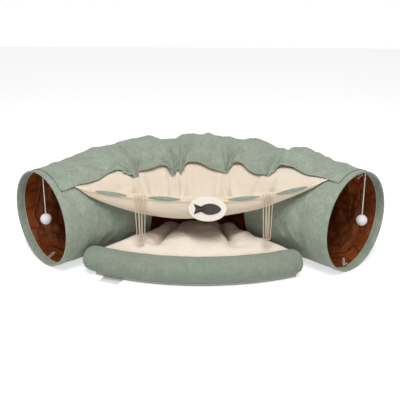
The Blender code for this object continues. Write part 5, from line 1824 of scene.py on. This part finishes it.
# %% The stitch tree
def stitch_tree():
    """A node tree that lays stitches along a curve."""
    tree = bpy.data.node_groups.new("seam_stitches", "GeometryNodeTree")
    face = tree.interface
    face.new_socket("Geometry", in_out="INPUT", socket_type="NodeSocketGeometry")
    for name, value in (("Pitch", 0.004), ("Length", 0.003), ("Thickness", 0.0006)):
        socket = face.new_socket(name, in_out="INPUT", socket_type="NodeSocketFloat")
        socket.default_value = value
    face.new_socket("Thread", in_out="INPUT", socket_type="NodeSocketMaterial")
    face.new_socket("Geometry", in_out="OUTPUT", socket_type="NodeSocketGeometry")
    nodes, links = tree.nodes, tree.links
    start = nodes.new("NodeGroupInput")
    end = nodes.new("NodeGroupOutput")
    spaced = nodes.new("GeometryNodeResampleCurve")
    spaced.mode = "LENGTH"
    links.new(start.outputs["Geometry"], spaced.inputs["Curve"])
    links.new(start.outputs["Pitch"], spaced.inputs["Length"])
    dots = nodes.new("GeometryNodeCurveToPoints")
    dots.mode = "EVALUATED"
    links.new(spaced.outputs["Curve"], dots.inputs["Curve"])
    thread = nodes.new("GeometryNodeMeshCylinder")
    thread.inputs["Vertices"].default_value = 6
    thread.inputs["Side Segments"].default_value = 2
    links.new(math_node(tree, "MULTIPLY", start.outputs["Thickness"], 0.5), thread.inputs["Radius"])
    links.new(start.outputs["Length"], thread.inputs["Depth"])
    placed = nodes.new("GeometryNodeInstanceOnPoints")
    links.new(dots.outputs["Points"], placed.inputs["Points"])
    links.new(thread.outputs["Mesh"], placed.inputs["Instance"])
    links.new(dots.outputs["Rotation"], placed.inputs["Rotation"])
    real = nodes.new("GeometryNodeRealizeInstances")
    links.new(placed.outputs[0], real.inputs[0])
    painted = nodes.new("GeometryNodeSetMaterial")
    links.new(real.outputs[0], painted.inputs["Geometry"])
    links.new(start.outputs["Thread"], painted.inputs["Material"])
    links.new(painted.outputs[0], end.inputs["Geometry"])
    return tree


seam_stitches = stitch_tree()
print("stitch inputs:", [item.name for item in seam_stitches.interface.items_tree])

# %% [markdown]
# The seams that show their stitches are the mouths' hems, the cover's front hem and both edges of the
# strap. Each row takes its line from the same formulas as the cloth under it, a little outside it. The
# facing's stitches are coarser and paler, as on the bed.

# %% Rows of stitches
stitch_lift = 0.0001
facing_stitch_lift = 0.0002
rim_stitch_inset = 0.0022
facing_stitch_inset = 0.0014
front_hem_stitch_inset = 0.0018
front_hem_radius = 0.165


def stitch_row(name, points, thread, body, slot, pitch=0.0040, length=0.0028, thickness=0.0006, closed=False):
    """A row of stitches along a seam, as a plain mesh."""
    curve = bpy.data.curves.new(name + "_path", "CURVE")
    curve.dimensions = "3D"
    spline = curve.splines.new("POLY")
    spline.points.add(len(points) - 1)
    for place, point in zip(spline.points, points):
        place.co = (*[float(v) for v in point], 1.0)
    spline.use_cyclic_u = closed
    path = bpy.data.objects.new(name + "_path", curve)
    bed_scene.collection.objects.link(path)
    modifier = path.modifiers.new("stitches", "NODES")
    modifier.node_group = seam_stitches
    values = {"Pitch": pitch, "Length": length, "Thickness": thickness, "Thread": thread}
    for item in seam_stitches.interface.items_tree:
        if item.in_out == "INPUT" and item.name in values:
            modifier[item.identifier] = values[item.name]
    ready = path.evaluated_get(bpy.context.evaluated_depsgraph_get())
    mesh = bpy.data.meshes.new_from_object(ready)
    bpy.data.objects.remove(path, do_unlink=True)
    mesh.name = name
    mesh.materials.clear()
    settle(new_piece(name, mesh, thread), body, slot)


full_round = np.linspace(0.0, math.tau, 300, endpoint=False)
for side, hand in ((-1, "left"), (1, "right")):
    place = side * (sleeve_edge - hem_outer_leg + rim_stitch_inset)
    stitch_row(hand + "_rim_stitches", tunnel_points(place, full_round, fit_gap + hem_cloth + stitch_lift),
               green_thread, hand + "_mouth", "sage_cloth", closed=True)
    inner_place = side * (sleeve_edge - hem_facing + facing_stitch_inset)
    inner_line = tunnel_points(inner_place, full_round, mouth_offset - facing_stitch_lift)
    stitch_row(hand + "_facing_stitches", inner_line, pale_thread, hand + "_mouth", "sage_cloth",
               pitch=0.0030, length=0.0026, thickness=0.0011, closed=True)

edge_run = np.linspace(-cover_seam, cover_seam, 900)
edge_offset = cover_offset(edge_run, edge_angle(edge_run)) + canopy_cloth / 2 + half_hem + stitch_lift
edge_line = tunnel_points(
    edge_run, edge_angle(edge_run) + (fit_gap + front_hem_stitch_inset) / front_hem_radius, edge_offset,
)
stitch_row("front_hem_stitches", edge_line, green_thread, "bed", "sage_cloth")
strap_run = np.linspace(-0.97, 0.97, 700)
strap_top, strap_bottom, _, strap_front = band_frame(strap_run)
for name, height in (("strap_top_stitches", 0.90), ("strap_low_stitches", 0.10)):
    line = strap_bottom + (strap_top - strap_bottom) * height + strap_front * (band_cloth + stitch_lift)
    stitch_row(name, line, cream_thread, "bed", "cream_cloth", pitch=0.0036, length=0.0025, thickness=0.0005)

# %% [markdown]
# ## The finish
# The imported nodes that are still shown are printed.

# %% Finish
shown = sorted(name for name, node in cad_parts.items() if not node.hide_render)
print("packed nodes still shown:", shown)
